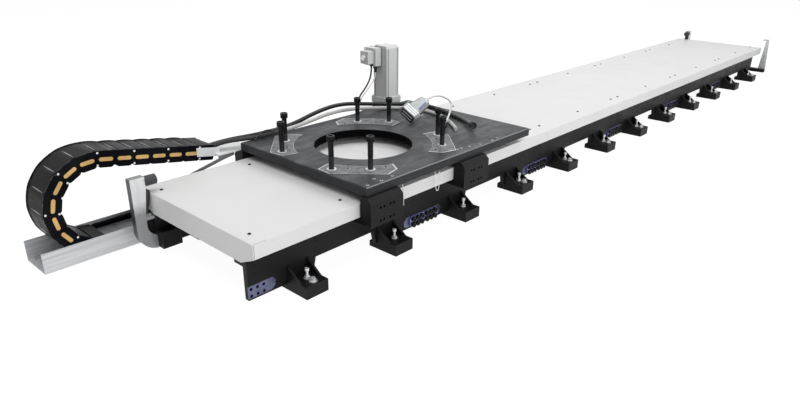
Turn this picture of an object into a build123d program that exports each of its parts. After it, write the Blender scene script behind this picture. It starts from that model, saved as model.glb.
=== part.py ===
from build123d import *
import math
import os

os.makedirs("parts", exist_ok=True)

# Millimetres, +Z up, z 0 on the floor, +X along the travel, the cable side at +Y.
# The origin is the middle of the four free floor-anchor holes, on the floor.

# Bays of beam and cover
bay_len = 1000.0
bay_count = 6
joint_gap = 1.0
track_len = bay_len * bay_count
joints_in = range(1, bay_count)

# Feet
foot_pitch = bay_len / 2
foot_start = 240.0
foot_count = round(track_len / foot_pitch)
foot_width = 110.0
foot_reach = 118.0
foot_base_h = 52.0
foot_sole_in = 45.0
rib_t = 9.0
rib_rise = 55.0
rib_run = 79.0
anchor_out = 91.0
anchor_hole_r = 9.0
leveller_out = 56.0
open_foot_indexes = (1, 2, foot_count - 2)

left_x = -(foot_start + foot_pitch * (foot_count - 1) / 2)
centre_x = left_x + track_len / 2

# Cover
cover_half = 403.5
cover_top = 281.0
cover_t = 3.0
skirt_h = 60.0
cap_drop = 98.0
cap_slant = 83.5
cap_low_half = cover_half - cap_slant
cap_tab = 20.0
panel_gap = 1.4
under_cover = cover_top - cover_t

# Beams
cover_overhang = 58.5
beam_face = cover_half - cover_overhang
beam_web = 22.0
beam_top = 188.0
beam_deep = 27.0
beam_shallow = 91.0
flange_in = 75.0
flange_t = 22.0
step_at = 320.0
step_run = 14.0
beam_end_gap = 4.0
beam_in = beam_face - beam_web
flange_z = beam_top - flange_t

# Splices: recess, plate and two rows of screws
recess_half = 135.0
recess_h = 56.0
recess_z = 57.5
recess_d = 4.0
recess_cut = 18.0
splice_cut = 11.0
splice_half = 98.0
splice_h = 50.0
splice_t = 10.0
splice_row = 29.0
splice_drop = 2.0
splice_steps = (19.0, 48.0, 77.0)
splice_hole_r = 5.5

# Cross members and the frame under the cover
cross_first = 40.0
cross_last = bay_len - 66.0
cross_count = 4
cross_pitch = (cross_last - cross_first) / (cross_count - 1)
cross_w = 60.0
cross_h = 62.0
cross_t = 6.0
cover_rail_y = beam_face - 145.0
cover_rail_w = 30.0
cover_rail_t = 4.0
cover_rail_end = 60.0
cover_bar_in = 50.0
cover_bar_at = (cover_bar_in, bay_len / 2, bay_len - cover_bar_in)
cover_bar_w = 40.0
cover_bar_t = 10.0
cover_bar_half = cover_half - 18.5

# Guide rails and blocks
rail_y = beam_face - 33.0
rail_half = 17.0
rail_waist = 12.0
rail_h = 29.0
rail_end = 8.0
block_half = 45.0
block_len = 120.0
block_lift = 6.0
block_top = 50.0
block_clear = 0.6

# Carriage
plate_at = 539.0
plate_len = 1208.0
plate_half = cover_half + 30.5
plate_z = 316.0
plate_t = 40.0
plate_chamfer = 4.0
bore_at = 945.0
bore_r = 239.0
pad_h = 2.0
saddle_t = 18.0
riser_clear = 8.5
riser_t = 26.0
riser_out = cover_half - cover_t - riser_clear
riser_in = riser_out - riser_t
saddle_in = rail_y - 50.0
arm_clear = 6.5
arm_shoulder = cover_half + arm_clear
arm_out = arm_shoulder + 63.0
arm_low = 193.0
arm_leg = 22.0
arm_bevel = 21.0
arm_at = (plate_at - 14.0, plate_at + plate_len - 605.0)
arm_len = 192.0
arm_holes_at = (56.0, 77.0, 114.0, 135.0)
arm_hole_rows = (212.0, 269.5)
arm_hole_r = 7.5
arm_hole_d = 16.0

# Robot screws: two rectangles about one centre
robot_at = bore_at
robot_wide = (359.0, 171.0)
robot_long = (243.5, 294.0)
screw_r = 12.0
screw_hole_r = 12.4
screw_head_r = 18.0
screw_head_h = 24.0
screw_stand = 144.0
screw_len = 170.0
screw_drop = (0.018, 0.02)
screw_socket = 19.0
screw_socket_d = 12.0
washer_r = 22.0
round_sides = 16
washer_t = 4.0

# Drive: rack, pinion, gearbox and motor
module = 10.0
teeth = 14
pressure = math.radians(20)
pitch_r = module * teeth / 2
motor_at = plate_at + plate_len - 115.0
motor_y = beam_face + 161.0
rack_y = motor_y - pitch_r
rack_add = 7.8
rack_ded = 11.5
rack_z = 130.0
rack_h = 40.0
rack_from = 1060.0
rack_to = track_len - 70.0
rack_back = beam_face + 67.0
rack_thin = 0.35
tube_z = 122.0
tube_h = 56.0
tube_t = 7.0
pinion_tip = 9.5
pinion_root = 10.0
pinion_end = 6.0
shaft_r = 18.0
gearbox_z = 178.0
gearbox_r = 54.0
gearbox_neck_r = 40.0
gearbox_neck_h = 26.0
gearbox_flange = 122.0
gearbox_flange_t = 14.0
bracket_t = 20.0
bracket_from = motor_at - 272.0
bracket_to = motor_at + 93.0
bracket_in = motor_y - 98.0
bracket_out = motor_y + 74.0
motor_flange = 128.0
motor_flange_h = 34.0
motor_side = 108.0
motor_top = 690.0
motor_cap_h = 14.0
motor_cap_edge = 7.0
motor_corner = 4.0
groove_in = 16.0
groove_w = 8.0
groove_d = 5.0

# End stops
stop_y = beam_face - 27.0
stop_t = 35.0
stop_top = 357.0
bumper_r = 22.0
bumper_len = 50.0
bumper_drop = 23.0
stop_block_w = 45.0
stop_block_to = 95.0

# Cable chain, its trough and its ends
link_pitch = 79.0
link_h = 72.0
link_gap = 0.95
link_side_t = 16.0
chain_y = beam_face + 125.0
chain_w = 170.0
chain_r = 191.0
chain_low_z = 44.0
loop_at = -153.7
loop_from = -13.0
upper_slope = math.radians(10.2)
loop_links = 9
upper_links = 5
lower_links = 33
lid_t = 5.0
lid_gap = 3.0
lid_crown = 2.0
chain_side_gap = 4.5
trough_from = -421.0
trough_to = 4700.0
trough_t = 2.5
trough_h = 92.0
trough_lip = 5.0
strip_w = 15.0
strip_end = 22.0
seat_gap = 0.3
clamp_len = 80.0
clamp_t = 6.0
clamp_h = 68.0
tow_sheet = 4.0
tow_from = 320.0
tow_bend = 425.0
tow_wing_to = 440.0
tow_tray_from = 415.0
tow_tray_to = 600.0
tow_wing_h = 42.0
tow_in = chain_y - 34.0

# Hoses and connectors
black_hose_r = 11.0
braided_hose_r = 10.0
motor_cable_r = 5.0
hood_cable_r = 5.0
plug_r = 24.0
plug_len = 42.0
hood_w = 100.0
hood_h = 66.0
hood_len = 165.0
hood_collar = 46.0
hood_body_w = 84.0
hood_body_h = 55.0
hood_tail_w = 62.0
hood_tail_h = 45.0
hood_cut = 11.5
hood_gland_r = 16.5
hood_lead = 80.0
hood_tilt = math.radians(19.5)
hood_roll = math.radians(37.0)
hood_at = 1345.0
hood_y = 76.0
gland_r = 9.0
gland_h = 14.0
arc_share = 0.45

# Small sizes of single pieces
rail_foot = 8.0
rail_head = 21.0
rail_edge = 2.0
leveller_r = 8.0
leveller_stand = 42.0
anchor_washer_r = 18.0
anchor_washer_t = 4.0
anchor_hex_r = 11.0
anchor_head_h = 13.0
pad_in_r = 335.0
pad_turns = (18.0, 69.0)
pad_corners = ((398.0, 125.0), (402.0, 208.0), (232.0, 392.0), (155.0, 372.0))
terminal_y = motor_y + 32.0
terminal_z = 630.0
terminal_w = 93.0
terminal_h = 102.0
terminal_out = 50.0
terminal_lid = 46.0
terminal_step = 15.0
cable_out = 62.0
cable_side = 24.0
cable_drop = 69.5
cable_lean = 82.0
cable_bend = 150.0
cable_rise = 100.0
connector_r = 13.0
connector_len = 14.0
gland_at = bracket_from + 18.0
gland_y = motor_y - 15.0
stop_foot = 23.0
stop_foot_top = 84.0
stop_bend = (-54.0, 50.0)
stop_bend_top = 122.0
stop_out = -81.0
stop_in = -16.0
stop_waist = -34.0
stop_shelf = 175.0
stop_shelf_t = 12.0
stop_inner_top = 140.0
stop_inner = (-25.0, 107.0)
post_out = 40.0
post_gap = 6.0
post_t = 12.0
post_wide = beam_face + 121.0
post_base = 64.0
post_narrow = beam_face + 102.0
post_tip = 22.0
post_hook = 50.0
post_foot_z = 45.0
post_foot_t = 30.0
tow_lift = 6.0
cam_from = 240.0
cam_to = 500.0
cam_drop = 54.0
cam_t = 13.0
cam_w = 6.0

plate_top = plate_z + plate_t


def at(x):
    """Row X of a distance from the cover's left end."""
    return left_x + x


def save(node, name):
    node.part.label = name
    export_step(node.part, f"parts/{name}.step")


def box(x0, x1, y0, y1, z0, z1):
    with BuildPart() as block:
        with BuildSketch(Plane.XY.offset(z0)):
            with Locations(((x0 + x1) / 2, (y0 + y1) / 2)):
                Rectangle(x1 - x0, y1 - y0)
        extrude(amount=z1 - z0)
    return block.part


def along_x(points, x0, x1):
    """Bar with a y-z outline between two X values."""
    with BuildPart() as bar:
        with BuildSketch(Plane.YZ.offset(x0)):
            with BuildLine():
                Polyline(*points, close=True)
            make_face()
        extrude(amount=x1 - x0)
    return bar.part


def along_y(points, y0, y1):
    """Bar with an x-z outline between two Y values."""
    with BuildPart() as bar:
        with BuildSketch(Plane.XZ.offset(-y1)):
            with BuildLine():
                Polyline(*points, close=True)
            make_face()
        extrude(amount=y1 - y0)
    return bar.part


def both_sides(points):
    """An outline's right half and its mirror image about x 0."""
    return list(points) + [(-a, b) for a, b in reversed(points)]


# Beams: six stepped bays, each with a recess for the splice plates at its ends
def beam_outline(x):
    x0 = at(x) + (joint_gap / 2 if x > 0 else beam_end_gap)
    x1 = at(x + bay_len) - (joint_gap / 2 if x + bay_len < track_len else beam_end_gap)
    step0 = at(x + step_at)
    step1 = at(x + bay_len - step_at)
    return [
        (x0, beam_deep),
        (step0, beam_deep),
        (step0 + step_run, beam_shallow),
        (step1 - step_run, beam_shallow),
        (step1, beam_deep),
        (x1, beam_deep),
        (x1, beam_top),
        (x0, beam_top),
    ]


with BuildPart() as beam_near:
    for bay in range(bay_count):
        outline = beam_outline(bay * bay_len)
        with BuildSketch(Plane.XZ.offset(beam_in)):
            with BuildLine():
                Polyline(*outline, close=True)
            make_face()
        extrude(amount=beam_web)
        bay_from = outline[0][0]
        bay_to = outline[5][0]
        with BuildSketch(Plane.XY.offset(flange_z)):
            with Locations(((bay_from + bay_to) / 2, flange_in / 2 - beam_face)):
                Rectangle(bay_to - bay_from, flange_in)
        extrude(amount=flange_t)
    with BuildSketch(Plane.XZ.offset(beam_face)):
        with Locations((at(0), recess_z), (at(track_len), recess_z)):
            SlotOverall(2 * recess_half, recess_h)
        with BuildSketch(mode=Mode.PRIVATE) as joint_recess:
            Rectangle(2 * recess_half, recess_h)
            chamfer(joint_recess.vertices(), length=recess_cut)
        with Locations(*[(at(k * bay_len), recess_z) for k in joints_in]):
            add(joint_recess.sketch)
    extrude(amount=-recess_d, mode=Mode.SUBTRACT)
    with BuildSketch(Plane.XZ.offset(beam_face)):
        for step in splice_steps:
            for row in (-splice_row / 2, splice_row / 2):
                with Locations((at(step), recess_z - splice_drop + row)):
                    Circle(splice_hole_r)
    extrude(amount=-beam_web, mode=Mode.SUBTRACT)
save(beam_near, "beam_near")

with BuildPart() as beam_far:
    mirror(beam_near.part, about=Plane.XZ)
save(beam_far, "beam_far")

with BuildPart() as splice_plates:
    with BuildSketch(Plane.XZ.offset(beam_face - recess_d)) as plates:
        with Locations(*[(at(k * bay_len), recess_z) for k in joints_in]):
            Rectangle(2 * splice_half, splice_h)
        chamfer(plates.vertices(), length=splice_cut)
    extrude(amount=splice_t)
    mirror(about=Plane.XZ)
save(splice_plates, "splice_plates")

# Feet: a base block with a sole under the beam and two side ribs
foot_xs = [at(foot_start + foot_pitch * k) for k in range(foot_count)]
foot_block = [
    (foot_sole_in - beam_face, 0),
    (foot_sole_in - beam_face, beam_deep),
    (-beam_face, beam_deep),
    (-beam_face, foot_base_h),
    (-beam_face - foot_reach, foot_base_h),
    (-beam_face - foot_reach, 0),
]
foot_rib = [
    (-beam_face, foot_base_h),
    (-beam_face, foot_base_h + rib_rise),
    (-beam_face - rib_run, foot_base_h),
]

with BuildPart() as feet_near:
    for x in foot_xs:
        add(along_x(foot_block, x - foot_width / 2, x + foot_width / 2))
        add(along_x(foot_rib, x - foot_width / 2, x - foot_width / 2 + rib_t))
        add(along_x(foot_rib, x + foot_width / 2 - rib_t, x + foot_width / 2))
    with BuildSketch(Plane.XY):
        with Locations(*[(foot_xs[k], -beam_face - anchor_out) for k in open_foot_indexes]):
            Circle(anchor_hole_r)
    extrude(amount=foot_base_h, mode=Mode.SUBTRACT)
save(feet_near, "feet_near")

with BuildPart() as feet_far:
    mirror(feet_near.part, about=Plane.XZ)
save(feet_far, "feet_far")

with BuildPart() as levelling_screws:
    with BuildSketch(Plane.XY.offset(foot_base_h)):
        with Locations(*[(x, -beam_face - leveller_out) for x in foot_xs]):
            RegularPolygon(leveller_r, 6)
    extrude(amount=leveller_stand)
    mirror(about=Plane.XZ)
save(levelling_screws, "levelling_screws")

anchored = [(x, -beam_face - anchor_out) for k, x in enumerate(foot_xs) if k not in open_foot_indexes]

with BuildPart() as anchor_washers:
    with BuildSketch(Plane.XY.offset(foot_base_h)):
        with Locations(*anchored):
            RegularPolygon(anchor_washer_r, round_sides // 2)
    extrude(amount=anchor_washer_t)
    mirror(about=Plane.XZ)
save(anchor_washers, "anchor_washers")

with BuildPart() as anchor_bolts:
    with BuildSketch(Plane.XY.offset(foot_base_h + anchor_washer_t)):
        with Locations(*anchored):
            RegularPolygon(anchor_hex_r, 6)
    extrude(amount=anchor_head_h)
    mirror(about=Plane.XZ)
save(anchor_bolts, "anchor_bolts")

# Frame between the beams and under the cover
with BuildPart() as cross_members:
    for place in range(1, bay_count * cross_count - 1):
        bay, k = divmod(place, cross_count)
        x0 = at(bay * bay_len + cross_first + k * cross_pitch) - cross_w / 2
        x1 = x0 + cross_w
        z0 = flange_z - cross_h
        channel = [
            (x0, z0),
            (x1, z0),
            (x1, z0 + cross_t),
            (x0 + cross_t, z0 + cross_t),
            (x0 + cross_t, flange_z - cross_t),
            (x1, flange_z - cross_t),
            (x1, flange_z),
            (x0, flange_z),
        ]
        add(along_y(channel, -beam_in, beam_in))
save(cross_members, "cross_members")

cover_rail_top = under_cover - cover_bar_t
with BuildPart() as cover_rails:
    channel = [
        (cover_rail_y, flange_z),
        (cover_rail_y + cover_rail_w, flange_z),
        (cover_rail_y + cover_rail_w, flange_z + cover_rail_t),
        (cover_rail_y + cover_rail_t, flange_z + cover_rail_t),
        (cover_rail_y + cover_rail_t, cover_rail_top - cover_rail_t),
        (cover_rail_y + cover_rail_w, cover_rail_top - cover_rail_t),
        (cover_rail_y + cover_rail_w, cover_rail_top),
        (cover_rail_y, cover_rail_top),
    ]
    add(along_x(channel, at(cover_rail_end), at(track_len - cover_rail_end)))
    mirror(about=Plane.XZ)
save(cover_rails, "cover_rails")

with BuildPart() as cover_bars:
    with BuildSketch(Plane.XY.offset(cover_rail_top)):
        for bay in range(bay_count):
            with Locations(*[(at(bay * bay_len + step), 0) for step in cover_bar_at]):
                Rectangle(cover_bar_w, 2 * cover_bar_half)
    extrude(amount=cover_bar_t)
save(cover_bars, "cover_bars")

# Cover: six bent panels and a cap over each end
panel_outline = both_sides(
    [
        (cover_half, cover_top),
        (cover_half, cover_top - skirt_h),
        (cover_half - cover_t, cover_top - skirt_h),
        (cover_half - cover_t, under_cover),
    ]
)
with BuildPart() as cover_panels:
    for bay in range(bay_count):
        panel_from = at(bay * bay_len) + (panel_gap / 2 if bay else cover_t + seat_gap)
        last = bay == bay_count - 1
        panel_to = at((bay + 1) * bay_len) - (cover_t + seat_gap if last else panel_gap / 2)
        add(along_x(panel_outline, panel_from, panel_to))
save(cover_panels, "cover_panels")

cap_outline = both_sides(
    [
        (cover_half, cover_top),
        (cover_half, cover_top - skirt_h),
        (cap_low_half, cover_top - cap_drop),
    ]
)
with BuildPart() as end_cap_left:
    add(along_x(cap_outline, left_x, left_x + cover_t))
    cap_tab_half = rail_y - rail_half
    add(
        box(
            left_x + cover_t,
            left_x + cover_t + cap_tab,
            -cap_tab_half,
            cap_tab_half,
            under_cover - cover_t,
            under_cover,
        )
    )
save(end_cap_left, "end_cap_left")

with BuildPart() as end_cap_right:
    mirror(end_cap_left.part, about=Plane.YZ.offset(centre_x))
save(end_cap_right, "end_cap_right")


# Guide rails and the blocks that run on them
def rail_side(clear, z_from):
    """Right side of the rail's outline, or of the groove that clears it all round."""
    shift = clear * math.tan(math.radians(22.5))
    return [
        (rail_half + clear, z_from),
        (rail_half + clear, rail_foot + shift),
        (rail_waist + clear, rail_foot + rail_half - rail_waist + shift),
        (rail_waist + clear, rail_head - rail_half + rail_waist - shift),
        (rail_half + clear, rail_head - shift),
        (rail_half + clear, rail_h - rail_edge + shift),
        (rail_half - rail_edge + shift, rail_h + clear),
    ]


def on_rail(points, side):
    return [(side * rail_y + a, beam_top + b) for a, b in points]


rail_outline = both_sides(rail_side(0, 0))

with BuildPart() as rail_near:
    add(along_x(on_rail(rail_outline, -1), at(rail_end), at(track_len - rail_end)))
save(rail_near, "rail_near")

with BuildPart() as rail_far:
    mirror(rail_near.part, about=Plane.XZ)
save(rail_far, "rail_far")

block_outline = both_sides(
    [(block_half, block_top), (block_half, block_lift)] + rail_side(block_clear, block_lift)
)
with BuildPart() as guide_blocks:
    for x in arm_at:
        block_from = at(x) + (arm_len - block_len) / 2
        add(along_x(on_rail(block_outline, -1), block_from, block_from + block_len))
    mirror(about=Plane.XZ)
save(guide_blocks, "guide_blocks")

# Carriage: plate, goosenecked arms that reach under the skirts, and saddles
saddle_z = beam_top + block_top
with BuildPart() as saddles:
    add(
        box(
            at(arm_at[0]),
            at(arm_at[1]) + arm_len,
            -riser_out,
            -saddle_in,
            saddle_z,
            saddle_z + saddle_t,
        )
    )
    mirror(about=Plane.XZ)
save(saddles, "saddles")

arm_outline = [
    (-arm_out, arm_low),
    (-arm_out, plate_z - arm_bevel),
    (-arm_out + arm_bevel, plate_z),
    (-arm_shoulder, plate_z),
    (-arm_shoulder, arm_low + arm_leg),
    (-riser_out, arm_low + arm_leg),
    (-riser_out, saddle_z),
    (-riser_in, saddle_z),
    (-riser_in, arm_low),
]
with BuildPart() as arms_near:
    for x in arm_at:
        add(along_x(arm_outline, at(x), at(x) + arm_len))
    with BuildSketch(Plane.XZ.offset(arm_out)):
        for x in arm_at:
            for row in arm_hole_rows:
                with Locations(*[(at(x) + step, row) for step in arm_holes_at]):
                    RegularPolygon(arm_hole_r, 6)
    extrude(amount=-arm_hole_d, mode=Mode.SUBTRACT)
save(arms_near, "arms_near")

with BuildPart() as arms_far:
    mirror(arms_near.part, about=Plane.XZ)
save(arms_far, "arms_far")

robot_spots = [
    (at(robot_at) + way * a, side * b)
    for a, b in (robot_wide, robot_long)
    for way in (-1, 1)
    for side in (-1, 1)
]


def on_pad_circle(degrees):
    turn = math.radians(degrees)
    return (pad_in_r * math.cos(turn), pad_in_r * math.sin(turn))


with BuildPart() as carriage_plate:
    with BuildSketch(Plane.XY.offset(plate_z)):
        with Locations((at(plate_at) + plate_len / 2, 0)):
            Rectangle(plate_len, 2 * plate_half)
    extrude(amount=plate_t)
    chamfer(carriage_plate.edges().group_by(Axis.Z)[-1], length=plate_chamfer)
    with BuildSketch(Plane.XY.offset(plate_top)):
        with Locations((at(robot_at), 0)):
            with BuildSketch(mode=Mode.PRIVATE) as pad:
                with BuildLine():
                    Polyline(on_pad_circle(pad_turns[0]), *pad_corners, on_pad_circle(pad_turns[1]))
                    ThreePointArc(
                        on_pad_circle(pad_turns[1]),
                        on_pad_circle(sum(pad_turns) / 2),
                        on_pad_circle(pad_turns[0]),
                    )
                make_face()
            add(pad.sketch)
            add(mirror(pad.sketch, about=Plane.XZ, mode=Mode.PRIVATE))
            across = mirror(pad.sketch, about=Plane.YZ, mode=Mode.PRIVATE)
            add(across)
            add(mirror(across, about=Plane.XZ, mode=Mode.PRIVATE))
    extrude(amount=pad_h)
    with BuildSketch(Plane.XY.offset(plate_z)):
        with Locations((at(bore_at), 0)):
            Circle(bore_r)
    extrude(amount=plate_t, mode=Mode.SUBTRACT)
    with BuildSketch(Plane.XY.offset(plate_z)):
        with Locations(*robot_spots):
            RegularPolygon(screw_hole_r, round_sides, major_radius=False)
    extrude(amount=plate_t + pad_h, mode=Mode.SUBTRACT)
save(carriage_plate, "carriage_plate")

pad_z = plate_top + pad_h
with BuildPart() as robot_washers:
    with BuildSketch(Plane.XY.offset(pad_z)):
        with Locations(*robot_spots):
            RegularPolygon(washer_r, round_sides)
            RegularPolygon(screw_hole_r, round_sides, major_radius=False, mode=Mode.SUBTRACT)
    extrude(amount=washer_t)
save(robot_washers, "robot_washers")



def screw_top(x, y):
    """Height of a screw's head; the loose screws stand lower towards the right and the far side."""
    return plate_top + screw_stand - screw_drop[0] * (x - at(robot_at)) - screw_drop[1] * y


with BuildPart() as robot_screws:
    for x, y in robot_spots:
        head_z = screw_top(x, y) - screw_head_h
        with BuildSketch(Plane.XY.offset(head_z)):
            with Locations((x, y)):
                RegularPolygon(screw_r, round_sides)
        extrude(amount=screw_head_h - screw_len)
        with BuildSketch(Plane.XY.offset(head_z)):
            with Locations((x, y)):
                RegularPolygon(screw_head_r, round_sides)
        extrude(amount=screw_head_h)
        with BuildSketch(Plane.XY.offset(head_z + screw_head_h)):
            with Locations((x, y)):
                RegularPolygon(screw_socket / 2, 6, major_radius=False)
        extrude(amount=-screw_socket_d, mode=Mode.SUBTRACT)
save(robot_screws, "robot_screws")

# Drive: rack on a tube along the far beam, pinion, gearbox and motor on a bracket
motor_x = at(motor_at)

with BuildPart() as rack_carrier:
    with BuildSketch(Plane.YZ.offset(at(rack_from))):
        with Locations(((beam_face + rack_back) / 2, tube_z + tube_h / 2)):
            Rectangle(rack_back - beam_face, tube_h)
            Rectangle(rack_back - beam_face - 2 * tube_t, tube_h - 2 * tube_t, mode=Mode.SUBTRACT)
    extrude(amount=rack_to - rack_from)
save(rack_carrier, "rack_carrier")


def rack_outline():
    """Straight-flanked teeth with a gap facing the pinion's tooth at rest."""
    pitch = math.pi * module
    first = math.ceil((at(rack_from) - motor_x) / pitch)
    last = math.floor((at(rack_to) - motor_x) / pitch)
    flat = pitch / 4 - rack_thin / 2
    top = flat - rack_add * math.tan(pressure)
    root = flat + rack_ded * math.tan(pressure)
    points = [(at(rack_to), rack_back), (at(rack_from), rack_back), (at(rack_from), rack_y - rack_ded)]
    for k in range(first, last):
        x = motor_x + (k + 0.5) * pitch
        points.append((x - root, rack_y - rack_ded))
        points.append((x - top, rack_y + rack_add))
        points.append((x + top, rack_y + rack_add))
        points.append((x + root, rack_y - rack_ded))
    points.append((at(rack_to), rack_y - rack_ded))
    return points


with BuildPart() as rack:
    with BuildSketch(Plane.XY.offset(rack_z)):
        with BuildLine():
            Polyline(*rack_outline(), close=True)
        make_face()
    extrude(amount=rack_h)
save(rack, "rack")


def involute(base, radius):
    """Angle by which an involute from the base circle has turned at a radius."""
    roll = math.sqrt(max((radius / base) ** 2 - 1, 0))
    return roll - math.atan(roll)


def pinion_outline():
    """Involute flanks in short chords, one tooth pointing at the rack at rest."""
    base = pitch_r * math.cos(pressure)
    tip = pitch_r + pinion_tip
    root = pitch_r - pinion_root
    half = math.pi / (2 * teeth) - rack_thin / (2 * pitch_r) + involute(base, pitch_r)
    radii = [base, (base + tip) / 2, tip]
    flank = [(root, half)] + [(r, half - involute(base, r)) for r in radii]
    points = []
    for k in range(teeth):
        middle = -math.pi / 2 + 2 * math.pi * k / teeth
        turns = [(r, middle - a) for r, a in flank] + [(r, middle + a) for r, a in reversed(flank)]
        points += [(motor_x + r * math.cos(a), motor_y + r * math.sin(a)) for r, a in turns]
    return points


with BuildPart() as pinion:
    with BuildSketch(Plane.XY.offset(rack_z)):
        with BuildLine():
            Polyline(*pinion_outline(), close=True)
        make_face()
        with Locations((motor_x, motor_y)):
            Circle(shaft_r, mode=Mode.SUBTRACT)
    extrude(amount=rack_h)
save(pinion, "pinion")

with BuildPart() as pinion_shaft:
    with BuildSketch(Plane.XY.offset(rack_z - pinion_end)):
        with Locations((motor_x, motor_y)):
            Circle(shaft_r)
    extrude(amount=gearbox_z - seat_gap - rack_z + pinion_end)
save(pinion_shaft, "pinion_shaft")

bracket_z = plate_z - bracket_t
with BuildPart() as gearbox:
    with BuildSketch(Plane.XY.offset(gearbox_z)):
        with Locations((motor_x, motor_y)):
            Circle(gearbox_neck_r)
    extrude(amount=gearbox_neck_h)
    with BuildSketch(Plane.XY.offset(gearbox_z + gearbox_neck_h)):
        with Locations((motor_x, motor_y)):
            Circle(gearbox_r)
    extrude(amount=bracket_z - gearbox_z - gearbox_neck_h - gearbox_flange_t)
    with BuildSketch(Plane.XY.offset(bracket_z - gearbox_flange_t)) as foot:
        with Locations((motor_x, motor_y)):
            Rectangle(gearbox_flange, gearbox_flange)
        chamfer(foot.vertices(), length=gearbox_flange_t)
    extrude(amount=gearbox_flange_t)
save(gearbox, "gearbox")

with BuildPart() as motor_bracket:
    with BuildSketch(Plane.XY.offset(bracket_z)):
        with BuildLine():
            Polyline(
                (at(bracket_from), bracket_in),
                (at(bracket_to), bracket_in),
                (at(bracket_to), bracket_out),
                (motor_x - motor_flange / 2 - bracket_t, bracket_out),
                (at(bracket_from) + bracket_t, motor_y + bracket_t),
                (at(bracket_from), motor_y),
                close=True,
            )
        make_face()
    extrude(amount=bracket_t)
save(motor_bracket, "motor_bracket")


def square_on_motor(side, corner):
    """Square with cut corners about the motor's axis, inside a sketch block."""
    with BuildSketch(mode=Mode.PRIVATE) as square:
        Rectangle(side, side)
        chamfer(square.vertices(), length=corner)
    with Locations((motor_x, motor_y)):
        add(square.sketch)


with BuildPart() as motor_flange_block:
    with BuildSketch(Plane.XY.offset(plate_z)):
        square_on_motor(motor_flange - motor_cap_edge, motor_corner)
    extrude(amount=plate_t)
    with BuildSketch(Plane.XY.offset(plate_top)):
        square_on_motor(motor_flange, motor_corner)
    extrude(amount=motor_flange_h)
save(motor_flange_block, "motor_flange_block")

body_z = plate_top + motor_flange_h
with BuildPart() as motor_body:
    with BuildSketch(Plane.XY.offset(body_z)):
        square_on_motor(motor_side, motor_corner)
        with Locations((motor_x, motor_y)):
            for turn in range(4):
                with PolarLocations(motor_side / 2, 1, start_angle=90 * turn):
                    with Locations((0, motor_side / 2 - groove_in), (0, groove_in - motor_side / 2)):
                        Rectangle(2 * groove_d, groove_w, mode=Mode.SUBTRACT)
    extrude(amount=motor_top - motor_cap_h - body_z)
save(motor_body, "motor_body")

with BuildPart() as motor_cap:
    with BuildSketch(Plane.XY.offset(motor_top - motor_cap_h)):
        square_on_motor(motor_side, motor_corner)
    with BuildSketch(Plane.XY.offset(motor_top)):
        square_on_motor(motor_side - 2 * motor_cap_edge, motor_corner)
    loft()
save(motor_cap, "motor_cap")

box_face = motor_x - motor_side / 2
with BuildPart() as terminal_box:
    with BuildSketch(Plane.YZ.offset(box_face)):
        with Locations((terminal_y, terminal_z)):
            Rectangle(terminal_w, terminal_h)
    extrude(amount=-terminal_out)
    with BuildSketch(Plane.YZ.offset(box_face - terminal_out)):
        with Locations((terminal_y, terminal_z)):
            Rectangle(terminal_w - 2 * terminal_step, terminal_h - 2 * terminal_step)
    extrude(amount=-terminal_lid)
save(terminal_box, "terminal_box")

with BuildPart() as motor_connector:
    with BuildSketch(Plane.YZ.offset(box_face - terminal_out - terminal_lid)):
        with Locations((terminal_y, terminal_z)):
            Circle(connector_r)
    extrude(amount=-connector_len)
save(motor_connector, "motor_connector")

cable_start = (box_face - cable_out, terminal_y - cable_side, terminal_z - terminal_h / 2 + terminal_step)
cable_end = (at(gland_at), gland_y, plate_z)
with BuildPart() as cable_glands:
    with BuildSketch(Plane.XY.offset(cable_start[2] - gland_h)):
        with Locations(cable_start[:2]):
            Circle(gland_r)
    extrude(amount=gland_h)
    with BuildSketch(Plane.XY.offset(cable_end[2])):
        with Locations(cable_end[:2]):
            Circle(gland_r)
    extrude(amount=gland_h)
save(cable_glands, "cable_glands")

# End stops
with BuildPart() as stop_left:
    with BuildSketch(Plane.XZ.offset(-stop_y - stop_t)):
        with BuildLine():
            Polyline(
                (at(beam_end_gap), stop_foot_top),
                (at(beam_end_gap), stop_foot),
            )
            ThreePointArc(
                (at(beam_end_gap), stop_foot),
                (at(stop_bend[0]), stop_bend[1]),
                (at(stop_out), stop_bend_top),
            )
            Polyline(
                (at(stop_out), stop_bend_top),
                (at(stop_out), stop_top),
                (at(stop_in), stop_top),
                (at(stop_in), stop_top - 2 * bumper_drop),
                (at(stop_waist), stop_shelf),
                (at(beam_end_gap), stop_shelf),
                (at(beam_end_gap), stop_shelf - stop_shelf_t),
                (at(stop_waist), stop_shelf - stop_shelf_t),
                (at(stop_waist), stop_inner_top),
            )
            ThreePointArc(
                (at(stop_waist), stop_inner_top),
                (at(stop_inner[0]), stop_inner[1]),
                (at(beam_end_gap), stop_foot_top),
            )
        make_face()
    extrude(amount=stop_t)
save(stop_left, "stop_left")

with BuildPart() as stop_right:
    mirror(stop_left.part, about=Plane.YZ.offset(centre_x))
save(stop_right, "stop_right")

with BuildPart() as bumpers:
    with BuildSketch(Plane.YZ.offset(at(stop_in))):
        with Locations((stop_y + bumper_drop / 2, stop_top - bumper_drop)):
            Circle(bumper_r)
    extrude(amount=bumper_len)
    mirror(about=Plane.YZ.offset(centre_x))
save(bumpers, "bumpers")

with BuildPart() as stop_blocks:
    add(
        box(
            at(beam_end_gap),
            at(stop_block_to),
            beam_in - stop_block_w,
            beam_in,
            beam_deep,
            flange_z - cross_h,
        )
    )
    mirror(about=Plane.YZ.offset(centre_x))
save(stop_blocks, "stop_blocks")

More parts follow.
